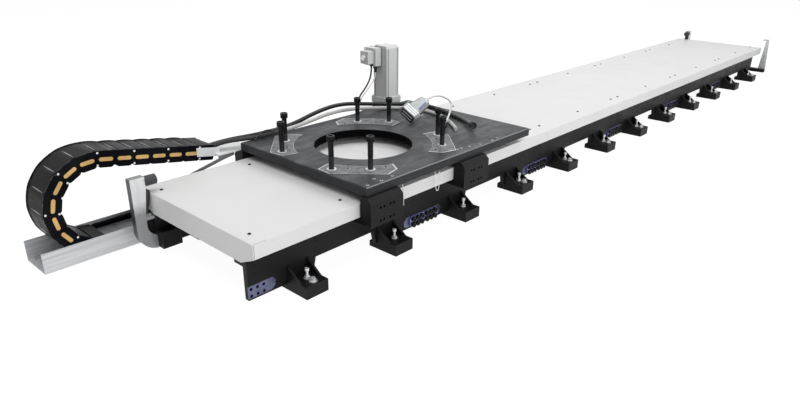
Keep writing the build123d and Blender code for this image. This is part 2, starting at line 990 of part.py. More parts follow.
post_x = at(track_len + post_out)
with BuildPart() as post_foot:
    with BuildSketch(Plane.XY.offset(post_foot_z)):
        with BuildLine():
            Polyline(
                (at(track_len - beam_end_gap), -beam_in),
                (at(track_len - beam_end_gap), -beam_face),
                (at(track_len + post_gap), -beam_face),
                (at(track_len + post_gap), -post_wide),
                (post_x + post_t, -post_wide),
                (post_x + 2 * post_t, -post_wide + post_t),
                (post_x + 2 * post_t, -beam_in),
                close=True,
            )
        make_face()
    extrude(amount=post_foot_t)
save(post_foot, "post_foot")

with BuildPart() as post:
    leg = [
        (-post_wide, post_foot_z + post_foot_t),
        (-post_wide + post_base, post_foot_z + post_foot_t),
        (-post_narrow + post_tip, stop_top - post_t),
        (-post_narrow + post_hook, stop_top - post_t),
        (-post_narrow + post_hook, stop_top),
        (-post_narrow, stop_top),
    ]
    add(along_x(leg, post_x, post_x + post_t))
save(post, "post")

# Cable chain: trough, glide strips, fixed end, straight strands and the loop
trough_in = chain_y - chain_side_gap
trough_out = chain_y + chain_w + chain_side_gap
with BuildPart() as trough:
    folded = [
        (trough_in - trough_t, 0),
        (trough_out + trough_t, 0),
        (trough_out + trough_t, trough_h),
        (trough_out + trough_t - trough_lip, trough_h),
        (trough_out + trough_t - trough_lip, trough_h - trough_t),
        (trough_out, trough_h - trough_t),
        (trough_out, trough_t),
        (trough_in, trough_t),
        (trough_in, trough_h),
        (trough_in - trough_t, trough_h),
    ]
    add(along_x(folded, at(trough_from), at(trough_to)))
save(trough, "trough")

strip_top = chain_low_z - link_h / 2 - seat_gap
with BuildPart() as glide_strips:
    for y in (chain_y, chain_y + chain_w - strip_w):
        add(
            box(
                at(trough_from) + strip_end,
                at(trough_to) - strip_end,
                y,
                y + strip_w,
                trough_t,
                strip_top,
            )
        )
save(glide_strips, "glide_strips")


def chain_point(s):
    """Pin line: flat lower strand, round loop, then the sloping upper strand."""
    turn_len = chain_r * (math.pi + upper_slope)
    angle = min(max(s, 0), turn_len) / chain_r
    x = at(loop_at) - chain_r * math.sin(angle) - min(s, 0)
    z = chain_low_z + chain_r * (1 - math.cos(angle))
    beyond = max(s - turn_len, 0)
    return (x + beyond * math.cos(upper_slope), z - beyond * math.sin(upper_slope))


half_link = (link_pitch - link_gap) / 2
half_h = link_h / 2
inner_half = half_link - half_h * math.tan(link_pitch / chain_r / 2)
chain_far = chain_y + chain_w


def link_ends(k):
    """Pins at the two ends of link k, as vectors in X and Z."""
    return [Vector(*chain_point(loop_from + end * link_pitch)) for end in (k, k + 1)]


def in_link(k, points):
    """Points along and across link k, as X and Z; across is away from the loop's middle."""
    first, second = link_ends(k)
    middle = (first + second) / 2
    way = (second - first).normalized()
    return [(middle.X + a * way.X - b * way.Y, middle.Y + a * way.Y + b * way.X) for a, b in points]


def outer_reach(k):
    """How far link k's outer edge runs on at each end to meet its neighbours in the bend."""
    ways = [second - first for first, second in map(link_ends, (k - 1, k, k + 1))]
    turns = [math.radians(ways[n].get_angle(ways[n + 1])) for n in (0, 1)]
    return [half_link + half_h * math.tan(turn / 2) for turn in turns]


def link_sides(k):
    """The two side plates of link k."""
    before, after = outer_reach(k)
    outline = in_link(
        k,
        [
            (-before, half_h),
            (after, half_h),
            (half_link, 0),
            (inner_half, -half_h),
            (-inner_half, -half_h),
            (-half_link, 0),
        ],
    )
    near = along_y(outline, chain_y, chain_y + link_side_t)
    far = along_y(outline, chain_far - link_side_t, chain_far)
    return [near, far]


def link_lids(k):
    """The crowned outer lid and the flat inner lid of link k, between its side plates."""
    before, after = outer_reach(k)
    crowned = [
        (-before + lid_gap / 2, half_h - lid_t),
        (after - lid_gap / 2, half_h - lid_t),
        (after - lid_gap / 2, half_h - lid_crown),
        (half_link / 2, half_h + lid_crown),
        (-half_link / 2, half_h + lid_crown),
        (-before + lid_gap / 2, half_h - lid_crown),
    ]
    flat = [
        (-inner_half + lid_gap, -half_h),
        (inner_half - lid_gap, -half_h),
        (inner_half - lid_gap, lid_t - half_h),
        (-inner_half + lid_gap, lid_t - half_h),
    ]
    inside = (chain_y + link_side_t, chain_far - link_side_t)
    return [along_y(in_link(k, lid), *inside) for lid in (crowned, flat)]


with BuildPart() as loop_sides:
    for k in range(loop_links):
        for plate in link_sides(k):
            add(plate)
save(loop_sides, "loop_sides")

with BuildPart() as loop_lids:
    for k in range(loop_links):
        for lid in link_lids(k):
            add(lid)
save(loop_lids, "loop_lids")

with BuildPart() as chain_upper:
    for k in range(loop_links, loop_links + upper_links):
        for piece in link_sides(k) + link_lids(k):
            add(piece)
save(chain_upper, "chain_upper")

lower_from = chain_point(loop_from)[0] + link_gap
lower_top = chain_low_z + half_h
lower_low = chain_low_z - half_h


def lower_side():
    """Side of the flat strand: closed links joined below their pins, notched above."""
    points = []
    for k in range(lower_links):
        middle = lower_from + (k + 0.5) * link_pitch
        points.append((middle - link_pitch / 2 + link_gap, chain_low_z))
        points.append((middle - inner_half, lower_top))
        points.append((middle + inner_half, lower_top))
        points.append((middle + link_pitch / 2 - link_gap, chain_low_z))
    points.append((lower_from + lower_links * link_pitch, lower_low))
    points.append((lower_from, lower_low))
    return points


with BuildPart() as chain_lower:
    add(along_y(lower_side(), chain_y, chain_far))
save(chain_lower, "chain_lower")

clamp_x = lower_from + lower_links * link_pitch
with BuildPart() as chain_clamp:
    angle = [
        (clamp_x, strip_top),
        (clamp_x + clamp_len, strip_top),
        (clamp_x + clamp_len, strip_top + clamp_t),
        (clamp_x + clamp_t, strip_top + clamp_t),
        (clamp_x + clamp_t, strip_top + clamp_h),
        (clamp_x, strip_top + clamp_h),
    ]
    add(along_y(angle, chain_y, chain_far))
save(chain_clamp, "chain_clamp")

# Tow bracket from the carriage's far left arm to the chain's last link
tow_z0 = chain_point(loop_from + (loop_links + upper_links) * link_pitch)[1]
tow_drop = (tow_bend - tow_from) * math.tan(upper_slope)
wing = [
    (at(tow_from), tow_z0 + tow_wing_h / 2 + tow_lift),
    (at(tow_from), tow_z0 - tow_wing_h / 2 + tow_lift),
    (at(tow_bend), tow_z0 - tow_wing_h / 2 + tow_lift - tow_drop),
    (at(tow_wing_to), tow_z0 - tow_wing_h / 2 + tow_lift - tow_drop),
    (at(tow_wing_to), tow_z0 + tow_wing_h / 2 + tow_lift - tow_drop),
    (at(tow_bend), tow_z0 + tow_wing_h / 2 + tow_lift - tow_drop),
]
with BuildPart() as tow_bracket:
    add(
        box(
            at(tow_tray_from),
            at(tow_tray_to),
            tow_in,
            chain_far + tow_sheet,
            plate_z,
            plate_z + tow_sheet,
        )
    )
    add(along_y(wing, chain_y - tow_sheet, chain_y))
    add(along_y(wing, chain_far, chain_far + tow_sheet))
save(tow_bracket, "tow_bracket")

with BuildPart() as cam_strip:
    strip = [
        (at(cam_from), plate_z - cam_drop),
        (at(tow_tray_from), plate_z - cam_t),
        (at(tow_tray_from), plate_z),
        (at(cam_to), plate_z),
        (at(cam_to), plate_z - cam_t),
        (at(tow_tray_from) + cam_t, plate_z - 2 * cam_t),
        (at(cam_from), plate_z - cam_drop - cam_t),
    ]
    add(along_y(strip, tow_in, tow_in + cam_w))
save(cam_strip, "cam_strip")


# Hoses: straight runs joined by tangent arcs
def bend_radii(points):
    """Bend radii, each from its shorter run and half its turn."""
    radii = []
    for before, here, after in zip(points, points[1:], points[2:]):
        first = Vector(*here) - Vector(*before)
        second = Vector(*after) - Vector(*here)
        half_turn = math.radians(first.get_angle(second)) / 2
        radii.append(arc_share * min(first.length, second.length) / math.tan(half_turn))
    return radii


def hose(name, points, radius):
    """Round tube along a route; prints its bend radii and its length."""
    radii = bend_radii(points)
    with BuildPart() as tube:
        with BuildLine():
            route = FilletPolyline(*points, radius=radii)
        with BuildSketch(Plane(origin=route @ 0, z_dir=route % 0)):
            Circle(radius)
        sweep()
    length = sum(edge.length for edge in route.edges())
    share = tube.part.volume / (math.pi * radius**2 * length)
    print(name, "length", round(length), "volume share", round(share, 3))
    print("bend radii", [round(r) for r in radii])
    return tube.part


def placed(points):
    return [(at(x), y, z) for x, y, z in points]


black_route = placed(
    [
        (296, 545, 340),
        (390, 541, 337),
        (500, 496, 363),
        (640, 435, 373),
        (840, 429, 378),
        (1030, 423, 424),
        (1190, 420, 434),
        (1390, 414, 397),
        (1560, 394, 369),
        (1685, 300, 368),
        (1680, 140, 368),
        (1625, -20, 368),
        (1575, -150, 368.5),
        (1516, -225, 380.4),
    ]
)
with BuildPart() as hose_black:
    add(hose("hose_black", black_route, black_hose_r))
save(hose_black, "hose_black")

braided_route = placed(
    [
        (296, 505, 340),
        (385, 503, 337),
        (475, 482, 365),
        (590, 410, 371),
        (750, 402, 371),
        (920, 395, 386),
        (1080, 391, 409),
        (1240, 390, 402),
        (1400, 383, 377),
        (1530, 325, 366.4),
        (1605, 215, 366.4),
        (1590, 70, 366.4),
        (1525, -75, 366.4),
        (1430, -190, 366.4),
    ]
)
with BuildPart() as hose_braided:
    add(hose("hose_braided", braided_route, braided_hose_r))
save(hose_braided, "hose_braided")

motor_route = [
    (cable_start[0], cable_start[1], cable_start[2] - gland_h),
    (cable_start[0], cable_start[1], cable_start[2] - cable_drop),
    (cable_end[0] + cable_lean, (cable_start[1] + gland_y) / 2, cable_end[2] + cable_bend),
    (cable_end[0], gland_y, cable_end[2] + cable_rise),
    (cable_end[0], gland_y, cable_end[2] + gland_h),
]
with BuildPart() as motor_cable:
    add(hose("motor_cable", motor_route, motor_cable_r))
save(motor_cable, "motor_cable")

# Connector hood leaning on one edge on the plate, with its own cable
hood_dir = (math.cos(hood_tilt), 0, math.sin(hood_tilt))
hood_low = (hood_w / 2 - hood_cut) * math.sin(hood_roll) + hood_h / 2 * math.cos(hood_roll)
hood_front = (at(hood_at), hood_y, plate_top + seat_gap + hood_low * math.cos(hood_tilt))
hood_back = tuple(hood_front[k] + hood_len * hood_dir[k] for k in range(3))
hood_across = (
    -math.sin(hood_tilt) * math.sin(hood_roll),
    math.cos(hood_roll),
    math.cos(hood_tilt) * math.sin(hood_roll),
)
hood_plane = Plane(origin=hood_front, x_dir=hood_across, z_dir=hood_dir)
with BuildPart() as connector_hood:
    with BuildSketch(hood_plane) as collar:
        Rectangle(hood_w, hood_h)
        chamfer(collar.vertices(), length=hood_cut)
    extrude(amount=hood_collar)
    with BuildSketch(hood_plane.offset(hood_collar)) as wide_end:
        Rectangle(hood_body_w, hood_body_h)
        chamfer(wide_end.vertices(), length=hood_cut)
    with BuildSketch(hood_plane.offset(hood_len - gland_h)) as slim_end:
        Rectangle(hood_tail_w, hood_tail_h)
        chamfer(slim_end.vertices(), length=hood_cut)
    loft()
    with BuildSketch(hood_plane.offset(hood_len - gland_h)):
        Circle(hood_gland_r)
    extrude(amount=gland_h)
save(connector_hood, "connector_hood")

hood_route = [
    hood_back,
    tuple(hood_back[k] + hood_lead * hood_dir[k] for k in range(3)),
] + placed(
    [
        (1632, -4, 445),
        (1543, -58, 412),
        (1464, -99, 381.8),
        (1410, -123, 381.4),
    ]
)
with BuildPart() as hood_cable:
    add(hose("hood_cable", hood_route, hood_cable_r))
save(hood_cable, "hood_cable")


def plug_on(route):
    """Round plug that carries on from the end of a route."""
    way = Vector(*route[-1]) - Vector(*route[-2])
    with BuildPart() as plug:
        with BuildSketch(Plane(origin=route[-1], z_dir=way)):
            Circle(plug_r)
        extrude(amount=plug_len)
    return plug.part


with BuildPart() as plugs:
    add(plug_on(black_route))
    add(plug_on(hood_route))
save(plugs, "plugs")
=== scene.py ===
import math

import bmesh
import bpy
from mathutils import Matrix, Vector


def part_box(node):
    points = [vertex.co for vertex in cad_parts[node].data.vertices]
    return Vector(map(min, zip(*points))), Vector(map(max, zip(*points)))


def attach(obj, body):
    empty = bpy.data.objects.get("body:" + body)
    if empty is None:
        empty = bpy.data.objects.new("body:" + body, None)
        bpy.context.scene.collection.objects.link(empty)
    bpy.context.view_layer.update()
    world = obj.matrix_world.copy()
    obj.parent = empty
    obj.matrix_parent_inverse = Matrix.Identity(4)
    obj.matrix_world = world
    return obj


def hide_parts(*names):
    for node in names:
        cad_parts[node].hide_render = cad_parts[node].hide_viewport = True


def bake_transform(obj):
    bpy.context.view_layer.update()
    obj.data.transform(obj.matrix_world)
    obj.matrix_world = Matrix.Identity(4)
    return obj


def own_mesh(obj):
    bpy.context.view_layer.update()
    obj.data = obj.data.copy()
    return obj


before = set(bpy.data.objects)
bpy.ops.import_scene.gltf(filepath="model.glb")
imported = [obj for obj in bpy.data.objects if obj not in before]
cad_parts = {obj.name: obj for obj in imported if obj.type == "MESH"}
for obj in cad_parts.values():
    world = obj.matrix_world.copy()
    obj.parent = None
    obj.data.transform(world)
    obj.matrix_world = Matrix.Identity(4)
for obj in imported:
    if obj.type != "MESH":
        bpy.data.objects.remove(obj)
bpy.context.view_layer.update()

# Sizes are in millimetres here and turned into metres where a point is made.
# X counts from the cover's left end, as measured in the photograph.
MM = 0.001
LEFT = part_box("end_cap_left")[0].x
BAY = 1000.0
BAYS = 6
COVER_TOP = 281.0
PLATE_TOP = 356.0
BEAM_FACE = 345.0
WRAP_END = LEFT + 790 * MM


def at(x, y, z):
    """A point in the row frame from millimetres along the cover, across and up."""
    return Vector((LEFT + x * MM, y * MM, z * MM))


def srgb(r, g, b):
    """Linear colour from the 0 to 255 values of a display."""
    def linear(value):
        value /= 255
        return value / 12.92 if value <= 0.04045 else ((value + 0.055) / 1.055) ** 2.4
    return (linear(r), linear(g), linear(b), 1.0)


def add_object(name, data):
    made = bpy.data.objects.new(name, data)
    bpy.context.scene.collection.objects.link(made)
    return made


# Camera: worked out from the photograph's vanishing lines and the cover's panels
CAMERA_AT = at(-1180, -2192, 1327)
CAMERA_YAW = math.radians(41.94)
CAMERA_PITCH = math.radians(23.17)
CAMERA_ROLL = math.radians(0.81)
PICTURE = (800, 418)
FOCAL_PX = 654.18
CENTRE_PX = (405.68, 206.78)


def make_camera():
    data = bpy.data.cameras.new("camera")
    camera = add_object("camera", data)
    ahead = Vector((
        math.cos(CAMERA_PITCH) * math.cos(CAMERA_YAW),
        math.cos(CAMERA_PITCH) * math.sin(CAMERA_YAW),
        -math.sin(CAMERA_PITCH),
    ))
    right = ahead.cross(Vector((0, 0, 1))).normalized()
    up = right.cross(ahead)
    right_rolled = math.cos(CAMERA_ROLL) * right + math.sin(CAMERA_ROLL) * up
    up_rolled = -math.sin(CAMERA_ROLL) * right + math.cos(CAMERA_ROLL) * up
    turn = Matrix((right_rolled, up_rolled, -ahead)).transposed().to_4x4()
    camera.matrix_world = Matrix.Translation(CAMERA_AT) @ turn
    data.sensor_width = 36
    data.lens = FOCAL_PX * data.sensor_width / PICTURE[0]
    data.shift_x = (PICTURE[0] / 2 - CENTRE_PX[0]) / PICTURE[0]
    data.shift_y = (CENTRE_PX[1] - PICTURE[1] / 2) / PICTURE[0]
    data.clip_end = 200
    bpy.context.scene.camera = camera


make_camera()
bpy.context.scene.view_settings.view_transform = "Standard"


# Materials
# Sockets of a mix node that works on colours
MIX_SHARE, MIX_FIRST, MIX_SECOND, MIX_RESULT = 0, 6, 7, 2


class Nodes:
    """A principled material and short calls that add nodes to it."""

    def __init__(self, name, colour, rough, metal=0.0, shine=0.5):
        self.material = bpy.data.materials.new(name)
        self.material.use_nodes = True
        self.tree = self.material.node_tree
        self.shader = self.tree.nodes["Principled BSDF"]
        names = ("Base Color", "Roughness", "Metallic", "Specular IOR Level")
        for key, value in zip(names, (colour, rough, metal, shine)):
            self.shader.inputs[key].default_value = value
        self.colour = None

    def node(self, kind, **values):
        made = self.tree.nodes.new(kind)
        for key, value in values.items():
            if hasattr(made, key):
                setattr(made, key, value)
            else:
                made.inputs[key.replace("_", " ")].default_value = value
        return made

    def link(self, source, target):
        self.tree.links.new(source, target)

    def place(self, stretch=(1, 1, 1), source="Object"):
        """Coordinates that stay with the piece, stretched for grain that runs one way."""
        where = self.node("ShaderNodeTexCoord")
        scaled = self.node("ShaderNodeMapping", Scale=stretch)
        self.link(where.outputs[source], scaled.inputs["Vector"])
        return scaled.outputs["Vector"]

    def noise(self, scale, stretch=(1, 1, 1), detail=5.0):
        made = self.node("ShaderNodeTexNoise", Scale=scale, Detail=detail)
        self.link(self.place(stretch), made.inputs["Vector"])
        return made.outputs["Fac"]

    def ramp(self, value, low, high, start=0.3, end=0.7):
        ends = {"From_Min": start, "From_Max": end, "To_Min": low, "To_Max": high}
        made = self.node("ShaderNodeMapRange", **ends)
        self.link(value, made.inputs["Value"])
        return made.outputs["Result"]

    def tint(self, value, colour):
        """Mixes another colour in where value is high."""
        mix = self.node("ShaderNodeMix", data_type="RGBA")
        self.link(value, mix.inputs[MIX_SHARE])
        if self.colour is None:
            base = self.shader.inputs["Base Color"].default_value
            mix.inputs[MIX_FIRST].default_value = base
        else:
            self.link(self.colour, mix.inputs[MIX_FIRST])
        mix.inputs[MIX_SECOND].default_value = colour
        self.colour = mix.outputs[MIX_RESULT]
        self.link(self.colour, self.shader.inputs["Base Color"])

    def roughness(self, low, high, *noise):
        """Roughness that runs between two values with a noise."""
        self.link(self.ramp(self.noise(*noise), low, high), self.shader.inputs["Roughness"])

    def relief(self, value, depth, edge=0.0012):
        """Fine bumps over softly rounded edges."""
        bump = self.node("ShaderNodeBump", Strength=1.0, Distance=depth)
        self.link(value, bump.inputs["Height"])
        self.link(self.rounded(edge), bump.inputs["Normal"])
        self.link(bump.outputs["Normal"], self.shader.inputs["Normal"])

    def rounded(self, edge):
        bevel = self.node("ShaderNodeBevel", Radius=edge)
        bevel.samples = 6
        return bevel.outputs["Normal"]

    def rubbed_and_lit_edge(self, width):
        """High along edges, broken up by noise; tints along it stand for edge wear and painted
        highlights.
        """
        shape = self.node("ShaderNodeNewGeometry")
        facing = self.node("ShaderNodeVectorMath", operation="DOT_PRODUCT")
        self.link(self.rounded(width), facing.inputs[0])
        self.link(shape.outputs["Normal"], facing.inputs[1])
        edge = self.ramp(facing.outputs["Value"], 1.0, 0.0, 0.80, 0.995)
        patchy = self.ramp(self.noise(60), 0.0, 1.0, 0.35, 0.65)
        return self.both(edge, patchy)

    def place_mask(self, low, high, axis="Z"):
        """From nought to one as the place along an axis goes from low to high, at rest."""
        where = self.node("ShaderNodeTexCoord")
        parts = self.node("ShaderNodeSeparateXYZ")
        self.link(where.outputs["Object"], parts.inputs[0])
        return self.ramp(parts.outputs[axis], 0.0, 1.0, low, high)

    def facing_mask(self, axis, low, high):
        """From nought to one as the face's direction along an axis goes from low to high."""
        shape = self.node("ShaderNodeNewGeometry")
        parts = self.node("ShaderNodeSeparateXYZ")
        self.link(shape.outputs["True Normal"], parts.inputs[0])
        return self.ramp(parts.outputs[axis], 0.0, 1.0, low, high)

    def both(self, first, second):
        """High where two masks are high."""
        made = self.node("ShaderNodeMath", operation="MULTIPLY")
        self.link(first, made.inputs[0])
        self.link(second, made.inputs[1])
        return made.outputs["Value"]


def painted(name, colour, rough, vary=0.06, edge_wear_and_highlight=None, depth=0.00008, shine=0.5, left=None):
    """Sprayed paint: orange peel, unevenness, edge wear with a painted highlight; left is painted
    shade on faces that look left.
    """
    made = Nodes(name, colour, rough, shine=shine)
    darker = tuple(c * (1 - vary) for c in colour[:3]) + (1.0,)
    made.tint(made.ramp(made.noise(2.2, detail=3), 0.0, 1.0), darker)
    made.roughness(rough - 0.06, rough + 0.08, 9)
    # Painted shade: faces that look left take the darker colour given as left.
    if left:
        made.tint(made.facing_mask("X", -0.4, -0.7), left)
    # Edge wear, lightened in part as a painted highlight along the edges.
    if edge_wear_and_highlight:
        made.tint(made.rubbed_and_lit_edge(0.0012), edge_wear_and_highlight)
    made.relief(made.noise(380, detail=2), depth)
    return made.material


def metal(name, colour, rough, stretch=(1, 1, 1), vary=0.18, scale=30, edge_wear_and_highlight=None, share=1.0):
    """Bare or plated metal with grain along one axis and uneven lustre."""
    made = Nodes(name, colour, rough, metal=share)
    darker = tuple(c * (1 - vary) for c in colour[:3]) + (1.0,)
    made.tint(made.ramp(made.noise(scale, stretch), 0.0, 1.0), darker)
    made.roughness(rough - 0.1, rough + 0.14, scale * 2, stretch)
    # Edge wear, lightened in part as a painted highlight along the edges.
    if edge_wear_and_highlight:
        made.tint(made.rubbed_and_lit_edge(0.001), edge_wear_and_highlight)
    made.relief(made.noise(scale * 12, stretch, detail=2), 0.00006, edge=0.0008)
    return made.material


def brushed_sheet():
    """Galvanised sheet: long streaks of uneven lustre along its length, and a few stains."""
    made = Nodes("zinc_sheet", srgb(216, 218, 220), 0.36, metal=0.3)
    made.tint(made.ramp(made.noise(7, (0.25, 9, 9), 6), 0.0, 1.0, 0.35, 0.65), srgb(186, 188, 191))
    made.tint(made.ramp(made.noise(22, (0.2, 8, 8), 4), 0.0, 0.7, 0.55, 0.75), srgb(226, 228, 231))
    made.tint(made.ramp(made.noise(2.4), 0.0, 0.5, 0.55, 0.75), srgb(160, 162, 165))
    made.roughness(0.28, 0.46, 16, (0.25, 8, 8))
    made.relief(made.noise(120, (0.2, 6, 6)), 0.00008)
    return made.material


def stop_material():
    """Machined plate: broad faces bright at the top and greyer below, a painted reflection; dark
    cut edges, partly painted shade.
    """
    made = Nodes("stop_silver", srgb(236, 237, 238), 0.36, metal=0.3)
    # Painted reflection: the broad faces turn greyer below this height.
    made.tint(made.place_mask(0.255, 0.195), srgb(150, 151, 153))
    made.tint(made.ramp(made.noise(9, (5, 5, 0.6), 6), 0.0, 0.25, 0.4, 0.7), srgb(186, 187, 189))
    # Tops and faces that look left are darker: partly the cut edges' colour, partly painted shade.
    made.tint(made.facing_mask("Z", 0.6, 0.9), srgb(164, 165, 167))
    made.tint(made.facing_mask("X", -0.5, -0.9), srgb(66, 67, 69))
    made.tint(made.rubbed_and_lit_edge(0.0012), srgb(226, 227, 229))
    made.roughness(0.26, 0.48, 30, (9, 9, 0.5))
    made.relief(made.noise(200, (6, 6, 0.5), 3), 0.00006)
    return made.material


def moulded(name, colour, rough, depth=0.0002, scale=260, sheen=None, shine=0.5):
    """Moulded plastic or rubber with a fine eroded grain, and a painted sheen along edges where
    sheen is given.
    """
    made = Nodes(name, colour, rough, shine=shine)
    lighter = tuple(min(1, c * 1.5 + 0.006) for c in colour[:3]) + (1.0,)
    made.tint(made.ramp(made.noise(7), 0.0, 1.0, 0.45, 0.75), lighter)
    # Painted sheen along the edges.
    if sheen:
        made.tint(made.rubbed_and_lit_edge(0.0015), sheen)
    made.roughness(rough - 0.06, rough + 0.1, 20)
    made.relief(made.noise(scale, detail=3), depth)
    return made.material


def lid_material():
    """Satin plastic lids with a painted highlight along the edges where they catch the light."""
    made = Nodes("chain_lid", srgb(24, 24, 25), 0.34, shine=0.03)
    made.tint(made.ramp(made.noise(6, (1, 0.3, 1), 4), 0.0, 0.8, 0.42, 0.7), srgb(38, 38, 40))
    # Painted highlight along the lids' edges.
    made.tint(made.rubbed_and_lit_edge(0.005), srgb(146, 147, 149))
    made.roughness(0.24, 0.44, 30, (1, 0.2, 1))
    made.relief(made.noise(200, (1, 0.3, 1), 3), 0.0001, edge=0.003)
    return made.material


def plate_material():
    """Dark oiled plate with smears; sides darker, partly painted shade; a painted highlight on the
    near chamfer; its raised pads are machined.
    """
    made = Nodes("plate_dark", srgb(62, 63, 65), 0.42, shine=0.12)
    made.tint(made.ramp(made.noise(5, (1, 2.4, 1), 8), 0.0, 0.9, 0.42, 0.70), srgb(92, 94, 97))
    made.tint(made.ramp(made.noise(14, (2.5, 1, 1), 6), 0.0, 0.8, 0.55, 0.80), srgb(36, 37, 39))
    made.tint(made.ramp(made.noise(90, detail=2), 0.0, 0.6, 0.66, 0.74), srgb(118, 120, 122))
    # Sides darker: partly their own colour, partly painted shade.
    made.tint(made.facing_mask("Z", 0.5, 0.2), srgb(50, 51, 53))
    # Painted highlight on the near chamfer, which faces the near side and up.
    lit_chamfer_highlight = made.both(made.facing_mask("Y", -0.4, -0.6), made.facing_mask("Z", 0.3, 0.6))
    made.tint(lit_chamfer_highlight, srgb(128, 129, 131))
    pads = made.place_mask(0.3572, 0.3578)
    made.tint(pads, srgb(128, 129, 130))
    scuffs = made.ramp(made.noise(26, (1, 3, 1), 8), 0.0, 0.9, 0.45, 0.72)
    made.tint(made.both(pads, scuffs), srgb(78, 79, 81))
    made.roughness(0.30, 0.55, 11, (1, 2, 1))
    made.relief(made.noise(220, (1, 1.6, 1), 4), 0.00012, edge=0.0016)
    return made.material


def braided_material():
    """Woven sleeve, black near the chain: strands that cross, from the tube's coordinates."""
    made = Nodes("braid_white", srgb(238, 238, 234), 0.6)
    waves = []
    for way in (1, -1):
        wave = made.node("ShaderNodeTexWave", Scale=1.0, Distortion=0.0)
        wave.bands_direction = "DIAGONAL"
        made.link(made.place((330.0, 9.0 * way, 0.0), "UV"), wave.inputs["Vector"])
        waves.append(wave.outputs["Fac"])
    cross = made.both(*waves)
    made.tint(made.ramp(cross, 1.0, 0.0, 0.0, 0.45), srgb(146, 147, 147))
    made.tint(made.ramp(made.noise(12), 0.0, 0.7, 0.5, 0.8), srgb(206, 206, 202))
    made.tint(made.place_mask(WRAP_END + 0.004, WRAP_END - 0.004, "X"), srgb(24, 24, 25))
    made.relief(cross, 0.0005)
    return made.material


def seen_directly(tree):
    """One for rays from the camera and for those mirrored or let through on their way."""
    rays = tree.nodes.new("ShaderNodeLightPath")
    seen = rays.outputs["Is Camera Ray"]
    for name in ("Is Glossy Ray", "Is Transmission Ray"):
        more = tree.nodes.new("ShaderNodeMath")
        more.operation = "ADD"
        more.use_clamp = True
        tree.links.new(seen, more.inputs[0])
        tree.links.new(rays.outputs[name], more.inputs[1])
        seen = more.outputs["Value"]
    return seen


def floor_material():
    """Pale studio floor that looks partly lit from itself, so that shadows stay faint."""
    made = Nodes("floor_pale", srgb(250, 250, 250), 0.9)
    made.tint(made.ramp(made.noise(0.6, detail=2), 0.0, 0.4), srgb(246, 246, 247))
    glow = made.node("ShaderNodeEmission", Color=(1.0, 1.0, 1.0, 1.0), Strength=1.12)
    mixed = made.node("ShaderNodeMixShader")
    made.link(made.ramp(seen_directly(made.tree), 0.0, 0.85, 0.0, 1.0), mixed.inputs[0])
    made.link(made.shader.outputs[0], mixed.inputs[1])
    made.link(glow.outputs[0], mixed.inputs[2])
    made.link(mixed.outputs[0], made.tree.nodes["Material Output"].inputs["Surface"])
    made.material.cycles.emission_sampling = "NONE"
    return made.material


COVER = painted("cover_white", srgb(228, 228, 228), 0.42, vary=0.03, shine=0.35)
# The wear colours below are edge wear and in part painted highlights along edges.
BLACK = painted(
    "paint_black", srgb(27, 27, 28), 0.46, vary=0.25, edge_wear_and_highlight=srgb(112, 113, 116), depth=0.00012,
    shine=0.12,
)
SPLICE = metal("zinc_blue", srgb(150, 155, 198), 0.32, edge_wear_and_highlight=srgb(206, 212, 242))
LINER = metal(
    "zinc_violet", srgb(112, 115, 142), 0.36, vary=0.4, scale=18, edge_wear_and_highlight=srgb(190, 194, 214)
)
BRIGHT = metal("zinc_bright", srgb(222, 223, 225), 0.30, share=0.6)
GROUND = metal("steel_ground", srgb(168, 169, 172), 0.28, (1, 14, 14))
STOP = stop_material()
ZINC = brushed_sheet()
STRIP = metal("cam_grey", srgb(122, 123, 125), 0.4, share=0.4, edge_wear_and_highlight=srgb(214, 215, 217))
TOW = painted("tow_sheet", srgb(230, 231, 232), 0.4, vary=0.08, shine=0.4)
PLATE = plate_material()
OXIDE = metal("oxide_black", srgb(38, 38, 40), 0.40, edge_wear_and_highlight=srgb(120, 122, 126))
# The motor's faces that look left are darker: painted shade.
MOTOR = painted(
    "motor_grey", srgb(222, 223, 223), 0.36, vary=0.05, shine=0.4, left=srgb(176, 177, 178)
)
CHAIN = moulded("chain_black", srgb(8, 9, 13), 0.42, sheen=srgb(24, 27, 48), shine=0.04)
LID = lid_material()
# Lighter copy of the lid colour for the flat strand: painted light in place of the shade it lies
# in.
LID_PAINTED_LIGHT = moulded("lid_painted_light", srgb(104, 105, 107), 0.3)
# Painted highlight streaks on the lids.
GLINT = moulded("lid_glint", srgb(122, 123, 126), 0.3)
SLIDER = moulded("strip_grey", srgb(156, 158, 160), 0.4)
RUBBER = moulded("rubber_dark", srgb(50, 51, 53), 0.5, shine=0.3)
HOSE = moulded("hose_black", srgb(22, 22, 24), 0.26, depth=0.0001, shine=0.3)
BRAID = braided_material()
CABLE = moulded("cable_black", srgb(34, 34, 35), 0.42, depth=0.00008, shine=0.35)
CABLE_GREY = moulded("cable_grey", srgb(196, 197, 198), 0.40, depth=0.00008)
HOOD = metal(
    "hood_silver", srgb(172, 177, 177), 0.40, vary=0.25, scale=12, edge_wear_and_highlight=srgb(226, 230, 230),
    share=0.5,
)
PLUG = moulded("plug_dark", srgb(20, 21, 22), 0.42, shine=0.3)
PAD_TAN = moulded("pad_tan", srgb(202, 164, 100), 0.46, depth=0.0001)
PIN_WHITE = moulded("pin_white", srgb(236, 238, 240), 0.35, depth=0.00005)
# Near-black for holes, gaps and recesses: painted shade for the dark inside them.
PAINTED_SHADE = painted("painted_shade_black", srgb(5, 5, 6), 0.7, shine=0.03)
FILM = painted("film_blue", srgb(96, 100, 150), 0.25, vary=0.2)
LINE_WHITE = moulded("line_white", srgb(228, 229, 230), 0.35, depth=0.00005)
SEAM = painted("seam_grey", srgb(150, 150, 151), 0.5)

